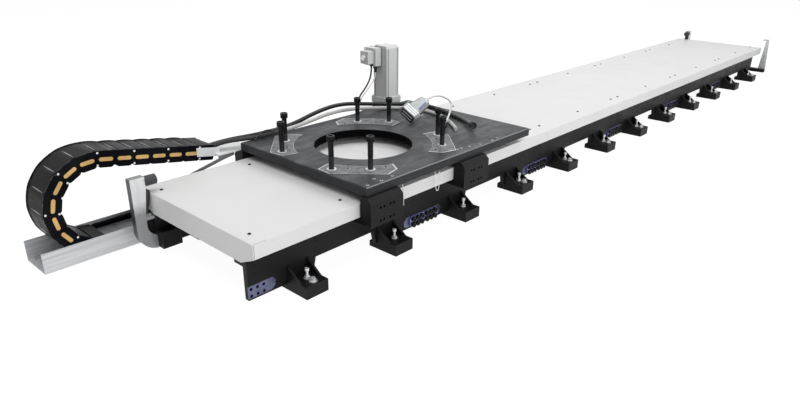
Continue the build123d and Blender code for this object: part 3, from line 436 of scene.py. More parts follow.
NODE_MATERIALS = {
    COVER: ["cover_panels", "end_cap_left", "end_cap_right"],
    BLACK: [
        "beam_near", "beam_far", "feet_near", "feet_far", "cross_members", "cover_rails",
        "cover_bars", "rack_carrier", "stop_blocks", "post_foot", "guide_blocks", "saddles",
        "arms_near", "arms_far", "gearbox", "motor_bracket",
    ],
    SPLICE: ["splice_plates"],
    BRIGHT: [
        "levelling_screws", "anchor_washers", "anchor_bolts", "motor_connector", "robot_washers",
    ],
    GROUND: ["rail_near", "rail_far", "rack", "pinion", "pinion_shaft"],
    STOP: ["stop_left", "stop_right"],
    ZINC: ["post", "trough", "chain_clamp"],
    STRIP: ["cam_strip"],
    TOW: ["tow_bracket"],
    PLATE: ["carriage_plate"],
    OXIDE: ["robot_screws"],
    MOTOR: ["motor_body", "motor_cap", "terminal_box", "motor_flange_block"],
    CHAIN: ["chain_upper", "chain_lower", "loop_sides"],
    LID: ["loop_lids"],
    SLIDER: ["glide_strips"],
    RUBBER: ["bumpers"],
    HOSE: ["hose_black"],
    BRAID: ["hose_braided"],
    CABLE: ["motor_cable", "hood_cable"],
    HOOD: ["connector_hood"],
    PLUG: ["plugs", "cable_glands"],
}
for material, names in NODE_MATERIALS.items():
    for name in names:
        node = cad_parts[name]
        node.data.materials.clear()
        node.data.materials.append(material)


# Mesh building
class Pile:
    """Vertices and faces of many like pieces, kept in one mesh."""

    def __init__(self):
        self.points = []
        self.faces = []

    def rings(self, rings, caps=True):
        """Skin over rings of equally many points, with both ends closed."""
        base = len(self.points)
        count = len(rings[0])
        for ring in rings:
            self.points += [Vector(p) for p in ring]
        for k in range(len(rings) - 1):
            for i in range(count):
                j = (i + 1) % count
                a = base + k * count
                b = a + count
                self.faces.append((a + i, a + j, b + j, b + i))
        if caps:
            self.faces.append(tuple(base + i for i in reversed(range(count))))
            top = base + (len(rings) - 1) * count
            self.faces.append(tuple(top + i for i in range(count)))

    def prism(self, outline, way):
        self.rings([outline, [p + way for p in outline]])

    def block(self, low, high):
        corners = [(low.x, low.y), (high.x, low.y), (high.x, high.y), (low.x, high.y)]
        self.prism([Vector((x, y, low.z)) for x, y in corners], Vector((0, 0, high.z - low.z)))

    def turned(self, centre, way, profile, sides=24, turn=0.0):
        """Rings about an axis. A profile step is radius, height and, for a hexagon, True."""
        way = Vector(way).normalized()
        across = way.orthogonal().normalized()
        other = way.cross(across)
        rings = []
        for step in profile:
            radius, height = step[0] * MM, step[1] * MM
            hexagon = len(step) > 2
            ring = []
            for k in range(sides):
                angle = 2 * math.pi * k / sides
                reach = radius
                if hexagon:
                    sixth = math.pi / 3
                    reach /= math.cos((angle % sixth) - sixth / 2)
                angle += turn
                ring.append(
                    centre
                    + way * height
                    + across * reach * math.cos(angle)
                    + other * reach * math.sin(angle)
                )
            rings.append(ring)
        self.rings(rings)

    def piece(self, name, body, material, slot, smooth=None, ride=True):
        mesh = bpy.data.meshes.new(name)
        mesh.from_pydata([tuple(p) for p in self.points], [], self.faces)
        work = bmesh.new()
        work.from_mesh(mesh)
        bmesh.ops.recalc_face_normals(work, faces=work.faces)
        work.to_mesh(mesh)
        work.free()
        if smooth:
            mesh.shade_smooth()
            mesh.set_sharp_from_angle(angle=math.radians(smooth))
        mesh.materials.append(material)
        made = add_object(name, mesh)
        if ride:
            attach(made, body)
        return made


UP = Vector((0, 0, 1))
NEAR = Vector((0, -1, 0))
FAR = Vector((0, 1, 0))
BACK = Vector((-1, 0, 0))
SIDES = ((-1, NEAR), (1, FAR))
QUARTERS = ((-1, -1), (-1, 1), (1, -1), (1, 1))


def socket_head(pile, centre, way, radius, height, socket, sides=24):
    """Cap screw head with a hexagon socket; socket is half its width across flats."""
    profile = [
        (radius, 0), (radius, height * 0.86), (radius * 0.93, height), (socket * 1.18, height),
        (socket, height * 0.97, True), (socket, height * 0.45, True),
        (socket * 0.4, height * 0.40),
    ]
    pile.turned(centre, way, profile, sides)


def button_head(pile, centre, way, radius, height, socket):
    """Low domed screw head with a hexagon socket."""
    profile = [
        (radius, 0), (radius * 0.97, height * 0.35), (radius * 0.82, height * 0.75),
        (socket * 1.2, height), (socket, height * 0.96, True), (socket, height * 0.3, True),
        (socket * 0.4, height * 0.25),
    ]
    pile.turned(centre, way, profile)


# Cover: screws, and the seams about the end caps
COVER_SCREWS = (50, 500, 950)
COVER_SCREW_Y = 316
SEAM_AT = 5
SEAM_FACE = (403.6, 403.8)
SEAM_FOOT = 221.5
TAB_LEN = 57
TAB_LINE = (399.5, 401.3)


def cover_details():
    screws = Pile()
    for bay in range(BAYS):
        for step in COVER_SCREWS:
            for y in (-COVER_SCREW_Y, COVER_SCREW_Y):
                button_head(screws, at(bay * BAY + step, y, COVER_TOP), UP, 7.5, 4.0, 2.4)
    screws.piece("cover_screws", "track", OXIDE, "black_oxide", smooth=40)
    seams = Pile()
    for x, inward in ((SEAM_AT, 1), (BAYS * BAY - SEAM_AT, -1)):
        for side in (-1, 1):
            face = sorted(side * y for y in SEAM_FACE)
            seams.block(at(x - 0.8, face[0], SEAM_FOOT), at(x + 0.8, face[1], COVER_TOP - 1))
            along = sorted((x, x + inward * TAB_LEN))
            line = sorted(side * y for y in TAB_LINE)
            seams.block(at(along[0], line[0], COVER_TOP), at(along[1], line[1], COVER_TOP + 0.2))
    seams.piece("cover_seams", "track", SEAM, "cover_paint")


# Beams: fixing screws, zinc liners in the recesses, splice bolts and the free ends' holes, drawn
# near-black as painted shade
FIXING_STEPS = (40, 338, 636, 934)
FIXING_ROWS = (160, 125)
SPLICE_T = 6
SPLICE_STEPS = (19, 48, 77)
SPLICE_ROWS = (41, 70)
RECESS = (135, 29.5, 85.5, 18)
RECESS_END = 4.5


def beam_details():
    fixings = Pile()
    bolts = Pile()
    liners = Pile()
    holes = Pile()
    for side, way in SIDES:
        for bay in range(BAYS):
            for step in FIXING_STEPS:
                for z in FIXING_ROWS:
                    spot = at(bay * BAY + step, side * BEAM_FACE, z)
                    button_head(fixings, spot, way, 5.5, 2.2, 2.0)
        for joint in range(BAYS + 1):
            add_liner(liners, joint, side, way)
            for step in SPLICE_STEPS:
                for z in SPLICE_ROWS:
                    if 0 < joint < BAYS:
                        for x in (joint * BAY - step, joint * BAY + step):
                            spot = at(x, side * (BEAM_FACE + SPLICE_T), z)
                            socket_head(bolts, spot, way, 12.2, 11, 5)
                    else:
                        x = step if joint == 0 else BAYS * BAY - step
                        spot = at(x, side * (BEAM_FACE - 3), z)
                        # Near-black discs: painted shade inside the free end's holes.
                        holes.turned(spot, way, [(6.5, 0), (6.5, 0.3)], 20)
    fixings.piece("beam_fixings", "track", OXIDE, "black_oxide", smooth=40)
    bolts.piece("splice_bolts", "track", OXIDE, "black_oxide", smooth=35)
    liners.piece("recess_liners", "track", LINER, "bright_steel")
    holes.piece("end_holes", "track", PAINTED_SHADE, "black_oxide")


def add_liner(pile, joint, side, way):
    """Zinc floor of a recess with a lip along its upper edge, cut short at the track's ends."""
    half, low, top, cut = RECESS
    left = RECESS_END if joint == 0 else -half
    right = -RECESS_END if joint == BAYS else half
    left_cut = 0 if joint == 0 else cut
    right_cut = 0 if joint == BAYS else cut
    outline = [
        (left, low), (right, low), (right, top - right_cut),
        (right - right_cut, top), (left + left_cut, top), (left, top - left_cut),
    ]
    base = [at(joint * BAY + x, side * (BEAM_FACE - 4), z) for x, z in outline]
    pile.prism(base, way * MM)
    lip = [
        (right - right_cut, top), (left + left_cut, top),
        (left + left_cut, top - 3), (right - right_cut, top - 3),
    ]
    base = [at(joint * BAY + x, side * (BEAM_FACE - 3), z) for x, z in lip]
    pile.prism(base, way * 3.2 * MM)


# Feet: threaded levelling screws with a collar, standing in a lock nut
FEET = 12
FOOT_FIRST = 240
FOOT_STEP = 500
FOOT_OUT = 56
NUT_FOOT = 52


def feet_details():
    screws = Pile()
    for k in range(FEET):
        for side in (-1, 1):
            foot = at(FOOT_FIRST + FOOT_STEP * k, side * (BEAM_FACE + FOOT_OUT), NUT_FOOT)
            screws.turned(foot, UP, [(15, 0), (15, 2.5), (8, 2.6)])
            screws.turned(foot, UP, [(11, 2.5, True), (11, 10, True), (9.5, 12)], turn=0.2 * k)
            thread = [(6 if step % 2 else 5.1, 12 + step) for step in range(22)]
            screws.turned(foot, UP, thread, sides=16)
            socket_head(screws, foot + UP * 33 * MM, UP, 9, 12, 4)
    made = screws.piece("levellers", "track", BRIGHT, "bright_steel", smooth=35)
    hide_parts("levelling_screws")


# Robot screws: knurled heads, threaded lower ends, and turned washers under them
ROBOT_AT = 945
BORE_R = 239
PAD_IN_R = 335
PAD_H = 2
HEAD_TOP = 144
HEAD_H = 24
ROBOT_PAIRS = ((359, 171), (243.5, 294))
ROBOT_SPOTS = [(ROBOT_AT + sx * a, sy * b) for a, b in ROBOT_PAIRS for sx, sy in QUARTERS]


def screw_top(x, y):
    """Height of a loose screw's head, lower towards the right and the far side."""
    return PLATE_TOP + HEAD_TOP - 0.018 * (x - ROBOT_AT) - 0.02 * y


def robot_screws():
    screws = Pile()
    washers = Pile()
    washer = [(13, 0), (22, 0), (22, 3.4), (21.4, 4), (13, 4), (12.6, 3.6), (12.6, 0.2)]
    for x, y in ROBOT_SPOTS:
        head = at(x, y, screw_top(x, y) - HEAD_H)
        profile = [(11.0, -146), (12.0, -144)]
        profile += [(12.0 if step % 2 else 11.1, -143 + 1.75 * step) for step in range(44)]
        profile += [(12.0, -64), (12.0, 0)]
        screws.turned(head, UP, profile, sides=24)
        knurl = [(17.2, 0), (17.2, 2), (17.9, 3), (17.9, 21), (17.0, HEAD_H), (11.5, HEAD_H)]
        knurl += [(9.5, 23.6, True), (9.5, 12, True), (4, 11.5)]
        screws.turned(head, UP, knurl, sides=36)
        washers.turned(at(x, y, PLATE_TOP + PAD_H), UP, washer, 32)
    made = screws.piece("screws_robot", "carriage", OXIDE, "black_oxide", smooth=35)
    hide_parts("robot_screws")
    made = washers.piece("washers_robot", "carriage", BRIGHT, "bright_steel", smooth=35)
    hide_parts("robot_washers")


# Carriage plate: tapped holes along the near edge and beside each screw, a band in the bore, and
# arm screws; holes, band and arm screws are near-black as painted shade
EDGE_HOLES = (
    (567, -412), (637, -379), (643, -417), (715, -410), (1196, -382),
    (1221, -386), (1274, -398), (1339, -412), (1432, -418), (1482, -414),
)
TAPPED_FROM_SCREW = ((-58, 40), (-73, 21))
BORE_SHADE_BAND = (317, 354)
ARMS_AT = (525, 1142)
ARM_FACE = 461
ARM_STEPS = (56, 77, 114, 135)
ARM_ROWS = (212, 269.5)


def add_pad_rim(pile, sx, sy):
    """Bright line round a raised pad, in one quarter of the plate: partly worn edge, partly painted
    highlight.
    """
    arc = [math.radians(18 + 51 * step / 12) for step in range(13)]
    outline = [(PAD_IN_R * math.cos(a), PAD_IN_R * math.sin(a)) for a in arc]
    outline += [(155, 372), (232, 392), (402, 208), (398, 125)]
    middle = (300, 225)
    rings = []
    for share, z in ((1.0, 2.0), (1.0, 2.3), (0.965, 2.3), (0.965, 2.0), (1.0, 2.0)):
        ring = []
        for x, y in outline:
            across = middle[0] + (x - middle[0]) * share, middle[1] + (y - middle[1]) * share
            ring.append(at(ROBOT_AT + sx * across[0], sy * across[1], PLATE_TOP + z))
        rings.append(ring)
    pile.rings(rings, caps=False)


def plate_details():
    holes = Pile()
    rims = Pile()
    # Tapped holes as near-black discs, painted shade, inside bright rims that are partly worn edge,
    # partly painted highlight.
    for x, y in EDGE_HOLES:
        rims.turned(at(x, y, PLATE_TOP), UP, [(7.0, 0), (7.0, 0.15)], 16)
        holes.turned(at(x + 1.5, y + 1.5, PLATE_TOP + 0.15), UP, [(4.0, 0), (4.0, 0.1)], 16)
    for sx, sy in QUARTERS:
        for (a, b), (more_a, more_b) in zip(ROBOT_PAIRS, TAPPED_FROM_SCREW):
            foot = at(ROBOT_AT + sx * (a + more_a), sy * (b + more_b), PLATE_TOP + PAD_H)
            rims.turned(foot, UP, [(9.5, 0), (9.5, 0.15)], 24)
            holes.turned(foot + UP * 0.15 * MM, UP, [(7.5, 0), (7.5, 0.1)], 24)
    for sx, sy in QUARTERS:
        add_pad_rim(rims, sx, sy)
    # Near-black band on the bore's wall: painted shade where the wall lies in shade.
    outer, inner = BORE_R + 0.2, BORE_R - 0.4
    low, top = BORE_SHADE_BAND
    shade_lining = []
    for r, z in ((outer, low), (inner, low), (inner, top), (outer, top), (outer, low)):
        angles = [step * math.pi / 48 for step in range(96)]
        shade_lining.append([at(ROBOT_AT + r * math.cos(a), r * math.sin(a), z) for a in angles])
    holes.rings(shade_lining, caps=False)
    holes.piece("plate_holes", "carriage", PAINTED_SHADE, "black_oxide", smooth=35)
    rims.piece("plate_rims", "carriage", BRIGHT, "bright_steel")
    # Arm screws in their recesses, near-black as painted shade.
    sockets = Pile()
    for x in ARMS_AT:
        for row in ARM_ROWS:
            for step in ARM_STEPS:
                for side, way in SIDES:
                    spot = at(x + step, side * ARM_FACE, row)
                    socket_head(sockets, spot, way, 6.2, 6, 2.6, sides=18)
                    sockets.turned(spot + way * 5.4 * MM, way, [(8.6, 0), (8.6, 0.3)], 18)
    sockets.piece("arm_screws", "carriage", PAINTED_SHADE, "black_oxide", smooth=35)


# Lubrication lines that hang below the plate's near edge
LINES = {
    "line_left": ((752, -436, 314), (751, -440, 298), (755, -441, 252), (757, -440, 216)),
    "line_right": (
        (968, -436, 314), (968, -440, 298), (969, -441, 258), (974, -441, 226),
        (984, -441, 218), (993, -441, 226), (996, -441, 262), (996, -440, 310),
    ),
}


def lubrication_lines():
    for name, points in LINES.items():
        tube(name, points, 1.6, "carriage", LINE_WHITE)


def tube(name, points, radius, body, material):
    """Round cord along a smooth line with the given control points, in millimetres."""
    data = bpy.data.curves.new(name, "CURVE")
    data.dimensions = "3D"
    data.resolution_u = 12
    data.bevel_depth = radius * MM
    data.bevel_resolution = 6
    data.use_fill_caps = True
    spline = data.splines.new("NURBS")
    spline.points.add(len(points) - 1)
    for target, source in zip(spline.points, points):
        target.co = (*at(*source), 1.0)
    spline.order_u = 3
    spline.use_endpoint_u = True
    data.materials.append(material)
    made = add_object(name, data)
    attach(made, body)
    return made


# Chain
LINK_PITCH = 79.0
LINK_HALF_HEIGHT = 36.0
CHAIN_R = 191.0
CHAIN_LOW = 44.0
LOOP_AT = -153.7
LOOP_FROM = -13.0
LOOP_LINKS = 9
UPPER_LINKS = 5
LOWER_LINKS = 33
UPPER_SLOPE = math.radians(10.2)
CHAIN_NEAR = 470.0
CHAIN_FAR = 640.0
CHAIN_FACES = ((CHAIN_NEAR, -1), (CHAIN_FAR, 1))
SIDE_T = 16.0
LID_TOP = 37.8
LID_DIP = 3.4
LID_T = 4
RIM_T = 6
SLOT_HALF = 21.5
PIN_SPOTS = ((5, -26), (3, 27.5))
HIDDEN_LINKS = 6
HIDDEN_TRIM = 1.2
LINK_GAP = 0.95
HALF_LINK = (LINK_PITCH - LINK_GAP) / 2


def chain_point(s):
    """Pin line: flat lower strand, round loop, then the sloping upper strand."""
    turn_len = CHAIN_R * (math.pi + UPPER_SLOPE)
    angle = min(max(s, 0), turn_len) / CHAIN_R
    x = LOOP_AT - CHAIN_R * math.sin(angle) - min(s, 0)
    z = CHAIN_LOW + CHAIN_R * (1 - math.cos(angle))
    beyond = max(s - turn_len, 0)
    return x + beyond * math.cos(UPPER_SLOPE), z - beyond * math.sin(UPPER_SLOPE)


def link_frame(k):
    """Middle of link k and its unit step along the chain."""
    x0, z0 = chain_point(LOOP_FROM + k * LINK_PITCH)
    x1, z1 = chain_point(LOOP_FROM + (k + 1) * LINK_PITCH)
    size = math.hypot(x1 - x0, z1 - z0)
    return (x0 + x1) / 2, (z0 + z1) / 2, (x1 - x0) / size, (z1 - z0) / size


def on_link(k, along, across, y):
    """Point on link k; across is away from the loop's middle."""
    mx, mz, tx, tz = link_frame(k)
    return at(mx + along * tx - across * tz, y, mz + along * tz + across * tx)


def inner_half(k):
    """Half length of a link's inner edge, shorter so that neighbours clear in the bend."""
    return HALF_LINK - LINK_HALF_HEIGHT * math.tan(LINK_PITCH / CHAIN_R / 2)


def outer_half(k):
    """Half lengths of a link's outer edge, longer in the bend to meet its neighbours."""
    ways = [Vector(link_frame(n)[2:]) for n in (k - 1, k, k + 1)]
    turns = [abs(ways[n].angle(ways[n + 1])) for n in (0, 1)]
    return [HALF_LINK + LINK_HALF_HEIGHT * math.tan(turn / 2) for turn in turns]


def add_sides(pile, k, trim=0.0):
    """Side plates: inner corners scalloped in the loop, notched above it, whole below it."""
    top = LINK_HALF_HEIGHT - trim
    before, after = outer_half(k)
    inner = inner_half(k)
    notch = [(inner + 6, -top * 0.62), (inner + 1, -top * 0.86), (inner - 8, -top)]
    if k > LOOP_LINKS:
        notch = [(HALF_LINK, -top * 0.78), (HALF_LINK - 2.5, -top * 0.93), (HALF_LINK - 7, -top)]
    notch = [(HALF_LINK, 0)] + notch
    outline = [(-before, top), (after, top)] + notch + [(-a, b) for a, b in reversed(notch)]
    if k < 0:
        outline = [(-before, top), (after, top), (HALF_LINK, -top), (-HALF_LINK, -top)]
    for y in (CHAIN_NEAR + trim, CHAIN_FAR - SIDE_T - trim):
        base = [on_link(k, a, b, y) for a, b in outline]
        pile.prism(base, FAR * (SIDE_T * MM))


def add_lids(pile, k, trim=0.0):
    """Crowned outer lid between rims of the side plates, and the flat inner one."""
    before, after = outer_half(k)
    steps = 10
    upper = []
    lower = []
    for i in range(steps + 1):
        share = i / steps
        crown = LID_TOP - trim - LID_DIP * abs(2 * share - 1) ** 3
        along = (0.6 - before) * (1 - share) + (after - 0.6) * share
        upper.append((along, crown))
        lower.append((along, crown - LID_T))
    outline = upper + lower[::-1]
    y0 = CHAIN_NEAR + 4 + trim
    width = CHAIN_FAR - CHAIN_NEAR - 12 - 2 * trim
    pile.prism([on_link(k, a, b, y0) for a, b in outline], FAR * (width * MM))
    inner = inner_half(k) - 4 if k >= 0 else HALF_LINK - 0.6
    low = -LINK_HALF_HEIGHT + 1.0 + trim if k >= 0 else -16 + trim
    flat = [(-inner, low), (inner, low), (inner, low + LID_T), (-inner, low + LID_T)]
    width = CHAIN_FAR - CHAIN_NEAR - 2 * SIDE_T
    base = [on_link(k, a, b, CHAIN_NEAR + SIDE_T) for a, b in flat]
    pile.prism(base, FAR * (width * MM))


def add_slot_shape(pile, k, radius, height):
    """A long round-ended shape raised in each side plate, from the loop's third link on."""
    for y, way in CHAIN_FACES if k > 1 else ():
        ring = []
        for i in range(20):
            angle = 2 * math.pi * (i + 0.5) / 20
            a = math.cos(angle) * radius + math.copysign(SLOT_HALF, math.cos(angle))
            ring.append(on_link(k, a, math.sin(angle) * radius, y))
        pile.prism(ring, FAR * (way * height * MM))


def add_glint(pile, k):
    """Painted highlight: a light streak, thin at both ends, where each lid dips to the joint."""
    before = outer_half(k)[0]
    steps = 10
    front = []
    back = []
    for i in range(steps + 1):
        y = CHAIN_NEAR + 14 + 118 * i / steps
        half = 2.6 * math.sin(math.pi * i / steps) + 0.1
        front.append(on_link(k, 7 - before - half, 35.4, y))
        back.append(on_link(k, 7 - before + half, 35.9, y))
    ring = front + back[::-1]
    way = on_link(k, 0, 1, 0) - on_link(k, 0, 0, 0)
    pile.prism(ring, way * 0.6)


def add_far_rim(pile, k):
    """Humped rim that stands above the lids along the far side."""
    before, after = outer_half(k)
    steps = 8
    top = [
        (-before + (before + after) * i / steps, 37.2 + 3.6 * (1 - (2 * i / steps - 1) ** 2))
        for i in range(steps + 1)
    ]
    outline = [*top, (after, 33), (-before, 33)]
    base = [on_link(k, a, b, CHAIN_FAR - RIM_T) for a, b in outline]
    pile.prism(base, FAR * (RIM_T * MM))


def add_joint_discs(pile, k):
    """Round lap of one side plate over the next, about each pin."""
    disc = [(27, 0), (27, 0.4), (25.5, 1.0), (8, 1.0), (7, 0.4)]
    for y, way in CHAIN_FACES:
        pile.turned(on_link(k, -LINK_PITCH / 2, 0, y), FAR * way, disc, 36)


def add_pins(pile, k):
    pin = [(4.6, 0), (4.6, 1.2), (3.6, 1.7), (1.6, 1.7), (1.4, 1.2)]
    for y, way in CHAIN_FACES:
        for along, across in PIN_SPOTS:
            centre = on_link(k, along - LINK_PITCH / 2, across, y)
            pile.turned(centre, FAR * way, pin, 16)


CHAIN_PARTS = (
    ("sides", add_sides, CHAIN, "chain_black"),
    ("lids", add_lids, LID, "chain_lid"),
    ("pads", lambda pile, k: add_slot_shape(pile, k, 8.5, 1.4), PAD_TAN, "chain_lid"),
    ("frames", lambda pile, k: add_slot_shape(pile, k, 11.5, 0.7), CHAIN, "chain_black"),
    ("discs", add_joint_discs, CHAIN, "chain_black"),
    ("rims", add_far_rim, CHAIN, "chain_black"),
    ("glints", add_glint, GLINT, "chain_lid"),
)


def flat_parts(trim=0.0):
    """Sides and lids of the flat strand, made thinner all round by trim; the lids take painted
    light.
    """
    return (
        ("sides", lambda pile, k: add_sides(pile, k, trim), CHAIN, "chain_black"),
        ("lids", lambda pile, k: add_lids(pile, k, trim), LID_PAINTED_LIGHT, "chain_lid"),
    )


def chain_strand(prefix, links, body, parts, ride=True, pin_every=2):
    """The pieces of a row of links, one object for each kind."""
    made = {}
    for name, add, material, slot in parts:
        pile = Pile()
        for k in links:
            add(pile, k)
        made[name] = pile.piece(f"{prefix}_{name}", body, material, slot, smooth=30, ride=ride)
    if pin_every:
        pile = Pile()
        for k in (*links, links[-1] + 1):
            if k % pin_every == 0:
                add_pins(pile, k)
        made["pins"] = pile.piece(
            f"{prefix}_pins", body, PIN_WHITE, "chain_lid", smooth=30, ride=ride
        )
    return made


def chain():
    loop = chain_strand("loop", range(LOOP_LINKS), "chain_loop", CHAIN_PARTS)
    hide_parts("loop_sides")
    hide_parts("loop_lids")
    links = range(LOOP_LINKS, LOOP_LINKS + UPPER_LINKS)
    upper = chain_strand("upper", links, "chain_loop", CHAIN_PARTS, ride=False)
    for piece in upper.values():
        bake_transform(piece)
    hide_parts("chain_upper")
    # Last link, held between the tow bracket's wings
    chain_strand("end", (LOOP_LINKS + UPPER_LINKS,), "carriage", CHAIN_PARTS[:2], pin_every=0)
    lower = chain_strand("lower", range(-LOWER_LINKS, 0), "track", flat_parts(), pin_every=0)
    for piece in lower.values():
        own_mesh(piece)
    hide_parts("chain_lower")
    # Links just behind the loop, inside the flat strand at rest
    # They close the gap when the loop runs out to the left
    hidden = flat_parts(HIDDEN_TRIM)
    chain_strand("behind", range(-HIDDEN_LINKS, 0), "chain_loop", hidden, pin_every=0)


# Cords: the routes repeat the model's points
BLACK_ROUTE = (
    (296, 545, 340), (390, 541, 337), (500, 496, 363), (640, 435, 373), (840, 429, 378),
    (1030, 423, 424), (1190, 420, 434), (1390, 414, 397), (1560, 394, 369), (1685, 300, 368),
    (1680, 140, 368), (1625, -20, 368), (1575, -150, 368.5), (1516, -225, 380.4),
)
BRAIDED_ROUTE = (
    (296, 505, 340), (385, 503, 337), (475, 482, 365), (590, 410, 371), (750, 402, 371),
    (920, 395, 386), (1080, 391, 409), (1240, 390, 402), (1400, 383, 377), (1530, 325, 366.4),
    (1605, 215, 366.4), (1590, 70, 366.4), (1525, -75, 366.4), (1430, -190, 366.4),
)
MOTOR_X = 1632.0
MOTOR_Y = 506.0
BOX_FACE = MOTOR_X - 54.0
BOX_Y = MOTOR_Y + 32.0
BOX_Z = 630.0
BOX_LID = BOX_FACE - 96.0
MOTOR_ROUTE = (
    (1516, 514, 580), (1516, 514, 524.5), (1460, 502.5, 466), (1378, 491, 416), (1378, 491, 330),
)
HOOD_TILT = math.radians(19.5)
HOOD_ROLL = math.radians(37.0)
HOOD_DIR = Vector((math.cos(HOOD_TILT), 0, math.sin(HOOD_TILT)))
HOOD_OVER = Vector((
    -math.sin(HOOD_TILT) * math.cos(HOOD_ROLL),
    -math.sin(HOOD_ROLL),
    math.cos(HOOD_TILT) * math.cos(HOOD_ROLL),
))
HOOD_ACROSS = HOOD_OVER.cross(HOOD_DIR)
HOOD_FRONT = Vector((1345, 76, PLATE_TOP + 0.3 + 49.52 * math.cos(HOOD_TILT)))
HOOD_BACK = HOOD_FRONT + 165 * HOOD_DIR
HOOD_ROUTE = (
    tuple(HOOD_BACK), tuple(HOOD_BACK + 80 * HOOD_DIR),
    (1632, -4, 445), (1543, -58, 412), (1464, -99, 381.8), (1410, -123, 381.4),
)


def cords():
    black = tube("hose_main", BLACK_ROUTE, 11, "carriage", HOSE)
    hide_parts("hose_black")
    black_plug = plug("plug_main", BLACK_ROUTE, 0.78)
    braided = tube("hose_sleeved", BRAIDED_ROUTE, 10, "carriage", BRAID)
    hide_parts("hose_braided")
    motor = tube("cable_motor", MOTOR_ROUTE, 5, "carriage", CABLE)
    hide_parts("motor_cable")
    hood = tube("cable_hood", HOOD_ROUTE, 5, "carriage", CABLE_GREY)
    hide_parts("hood_cable")
    hood_plug = plug("plug_hood", HOOD_ROUTE)
    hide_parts("plugs")


def loose_ends():
    """The hoses' strap, a second thin cable with its plug, and a cut tube by the hood's plug."""
    strap = ((596, 398, 362), (618, 398, 384), (652, 396, 398), (690, 395, 396), (712, 395, 384))
    tube("hose_strap", strap, 4, "carriage", CABLE)
    second = (
        (1556, 520, 566), (1556, 516, 520), (1502, 506, 470), (1400, 494, 408), (1390, 492, 350),
    )
    tube("cable_second", second, 3.5, "carriage", LINE_WHITE)
    dark = Pile()
    dark.turned(at(1556, 521, 579), -UP, [(13, 0), (13, 18), (9, 22), (9, 38), (6, 42)], 20)
    dark.piece("plug_second", "carriage", PLUG, "plug_black", smooth=35)
    short = ((1478, -44, 368), (1462, -78, 370), (1438, -104, 372), (1416, -112, 382))
    tube("tube_short", short, 8, "carriage", BRAID)


def plug(name, route, size=1.0):
    """Moulded plug with finger grooves and a ring, on the end of a route."""
    pile = Pile()
    end = at(*route[-1])
    way = end - at(*route[-2])
    profile = [(12, 0), (15, 1), (17, 6), (22, 9), (23.5, 12)]
    for groove in range(4):
        base = 13 + groove * 5
        profile += [(23.5, base), (22.3, base + 1), (22.3, base + 3), (23.5, base + 4)]
    profile += [(23.5, 38), (22, 41.5), (18, 41.5), (17.5, 34), (5, 33)]
    pile.turned(end, way, [(radius * size, height) for radius, height in profile], sides=40)
    return pile.piece(name, "carriage", PLUG, "plug_black", smooth=35)


# Connector hood: bands round the collar, a face of contact strips, latch arms and a blue film
BAND_HALVES = (50.6, 33.6)
BAND_CORNER = 11.5
HOOD_SPAN = (46, 151)
HOOD_HALVES = ((42, 27.5), (31, 22.5))


def hood_point(along, across, up):
    """Point by the hood's axis: along it, across it and square to both."""
    return at(*(HOOD_FRONT + HOOD_DIR * along + HOOD_ACROSS * across + HOOD_OVER * up))


def hood_slab(pile, outline, start, end):
    """Slab square to the hood's axis, between two places along it."""
    pile.rings([[hood_point(along, y, z) for y, z in outline] for along in (start, end)])


def hood_details():
    bands = Pile()
    half_y, half_z = BAND_HALVES
    for along in (6, 20, 34):
        outline = []
        for sy, sz in ((1, 1), (-1, 1), (-1, -1), (1, -1)):
            a = (sy * half_y, sz * (half_z - BAND_CORNER))
            b = (sy * (half_y - BAND_CORNER), sz * half_z)
            outline += [a, b] if sy * sz > 0 else [b, a]
        hood_slab(bands, outline, along, along + 5)
    bands.piece("hood_bands", "carriage", BRIGHT, "hood_metal")
    joint = Pile()
    around = [(43, 17), (31, 28.4), (-31, 28.4), (-43, 17)]
    around += [(-y, -z) for y, z in around]
    hood_slab(joint, around, 45, 50)
    joint.piece("hood_joint", "carriage", PLUG, "plug_black")
    face = Pile()
    strips = Pile()
    hood_slab(face, ((-40, -24), (40, -24), (40, 24), (-40, 24)), -1, 0)
    for z in (-13, 9):
        hood_slab(strips, ((-34, z), (34, z), (34, z + 5), (-34, z + 5)), -2, -1)
    face.piece("hood_face", "carriage", PLUG, "plug_black")
    strips.piece("hood_contacts", "carriage", PIN_WHITE, "bright_steel")
    arms = Pile()
    for side in (-1, 1):
        y = side * 50.5
        outline = [(2, -9), (2, 9), (60, 12), (78, 6), (78, -6), (60, -12)]
        base = [hood_point(a, y, b) for a, b in outline]
        arms.prism(base, side * 2.5 * MM * HOOD_ACROSS)
        arms.turned(hood_point(66, y, 0), side * HOOD_ACROSS, [(5, 0), (5, 4.5), (3, 5.5)], 18)
    arms.piece("hood_latches", "carriage", HOOD, "hood_metal", smooth=35)
    film = Pile()
    ends = []
    tops = []
    (wide, high), (narrow, low) = HOOD_HALVES
    for along in (62, 132):
        share = (along - HOOD_SPAN[0]) / (HOOD_SPAN[1] - HOOD_SPAN[0])
        reach = wide + (narrow - wide) * share + 0.3
        over = high + (low - high) * share + 0.3
        ends += [(along, -reach, -14 + 4 * share), (along, -reach, 14 - 4 * share)]
        tops += [(along, 12 - reach, over), (along, 24 - reach, over)]
    film.prism([hood_point(*ends[n]) for n in (0, 2, 3, 1)], -0.3 * MM * HOOD_ACROSS)
    film.prism([hood_point(*tops[n]) for n in (0, 2, 3, 1)], 0.3 * MM * HOOD_OVER)
    film.piece("hood_film", "carriage", FILM, "hood_metal")
    gland = Pile()
    gland.turned(
        hood_point(150, 0, 0), HOOD_DIR,
        [(17, 0), (17, 3, True), (17, 9, True), (13, 12), (9, 26), (6, 30), (5.2, 30)], 36,
    )
    gland.piece("hood_gland", "carriage", BRIGHT, "bright_steel", smooth=35)


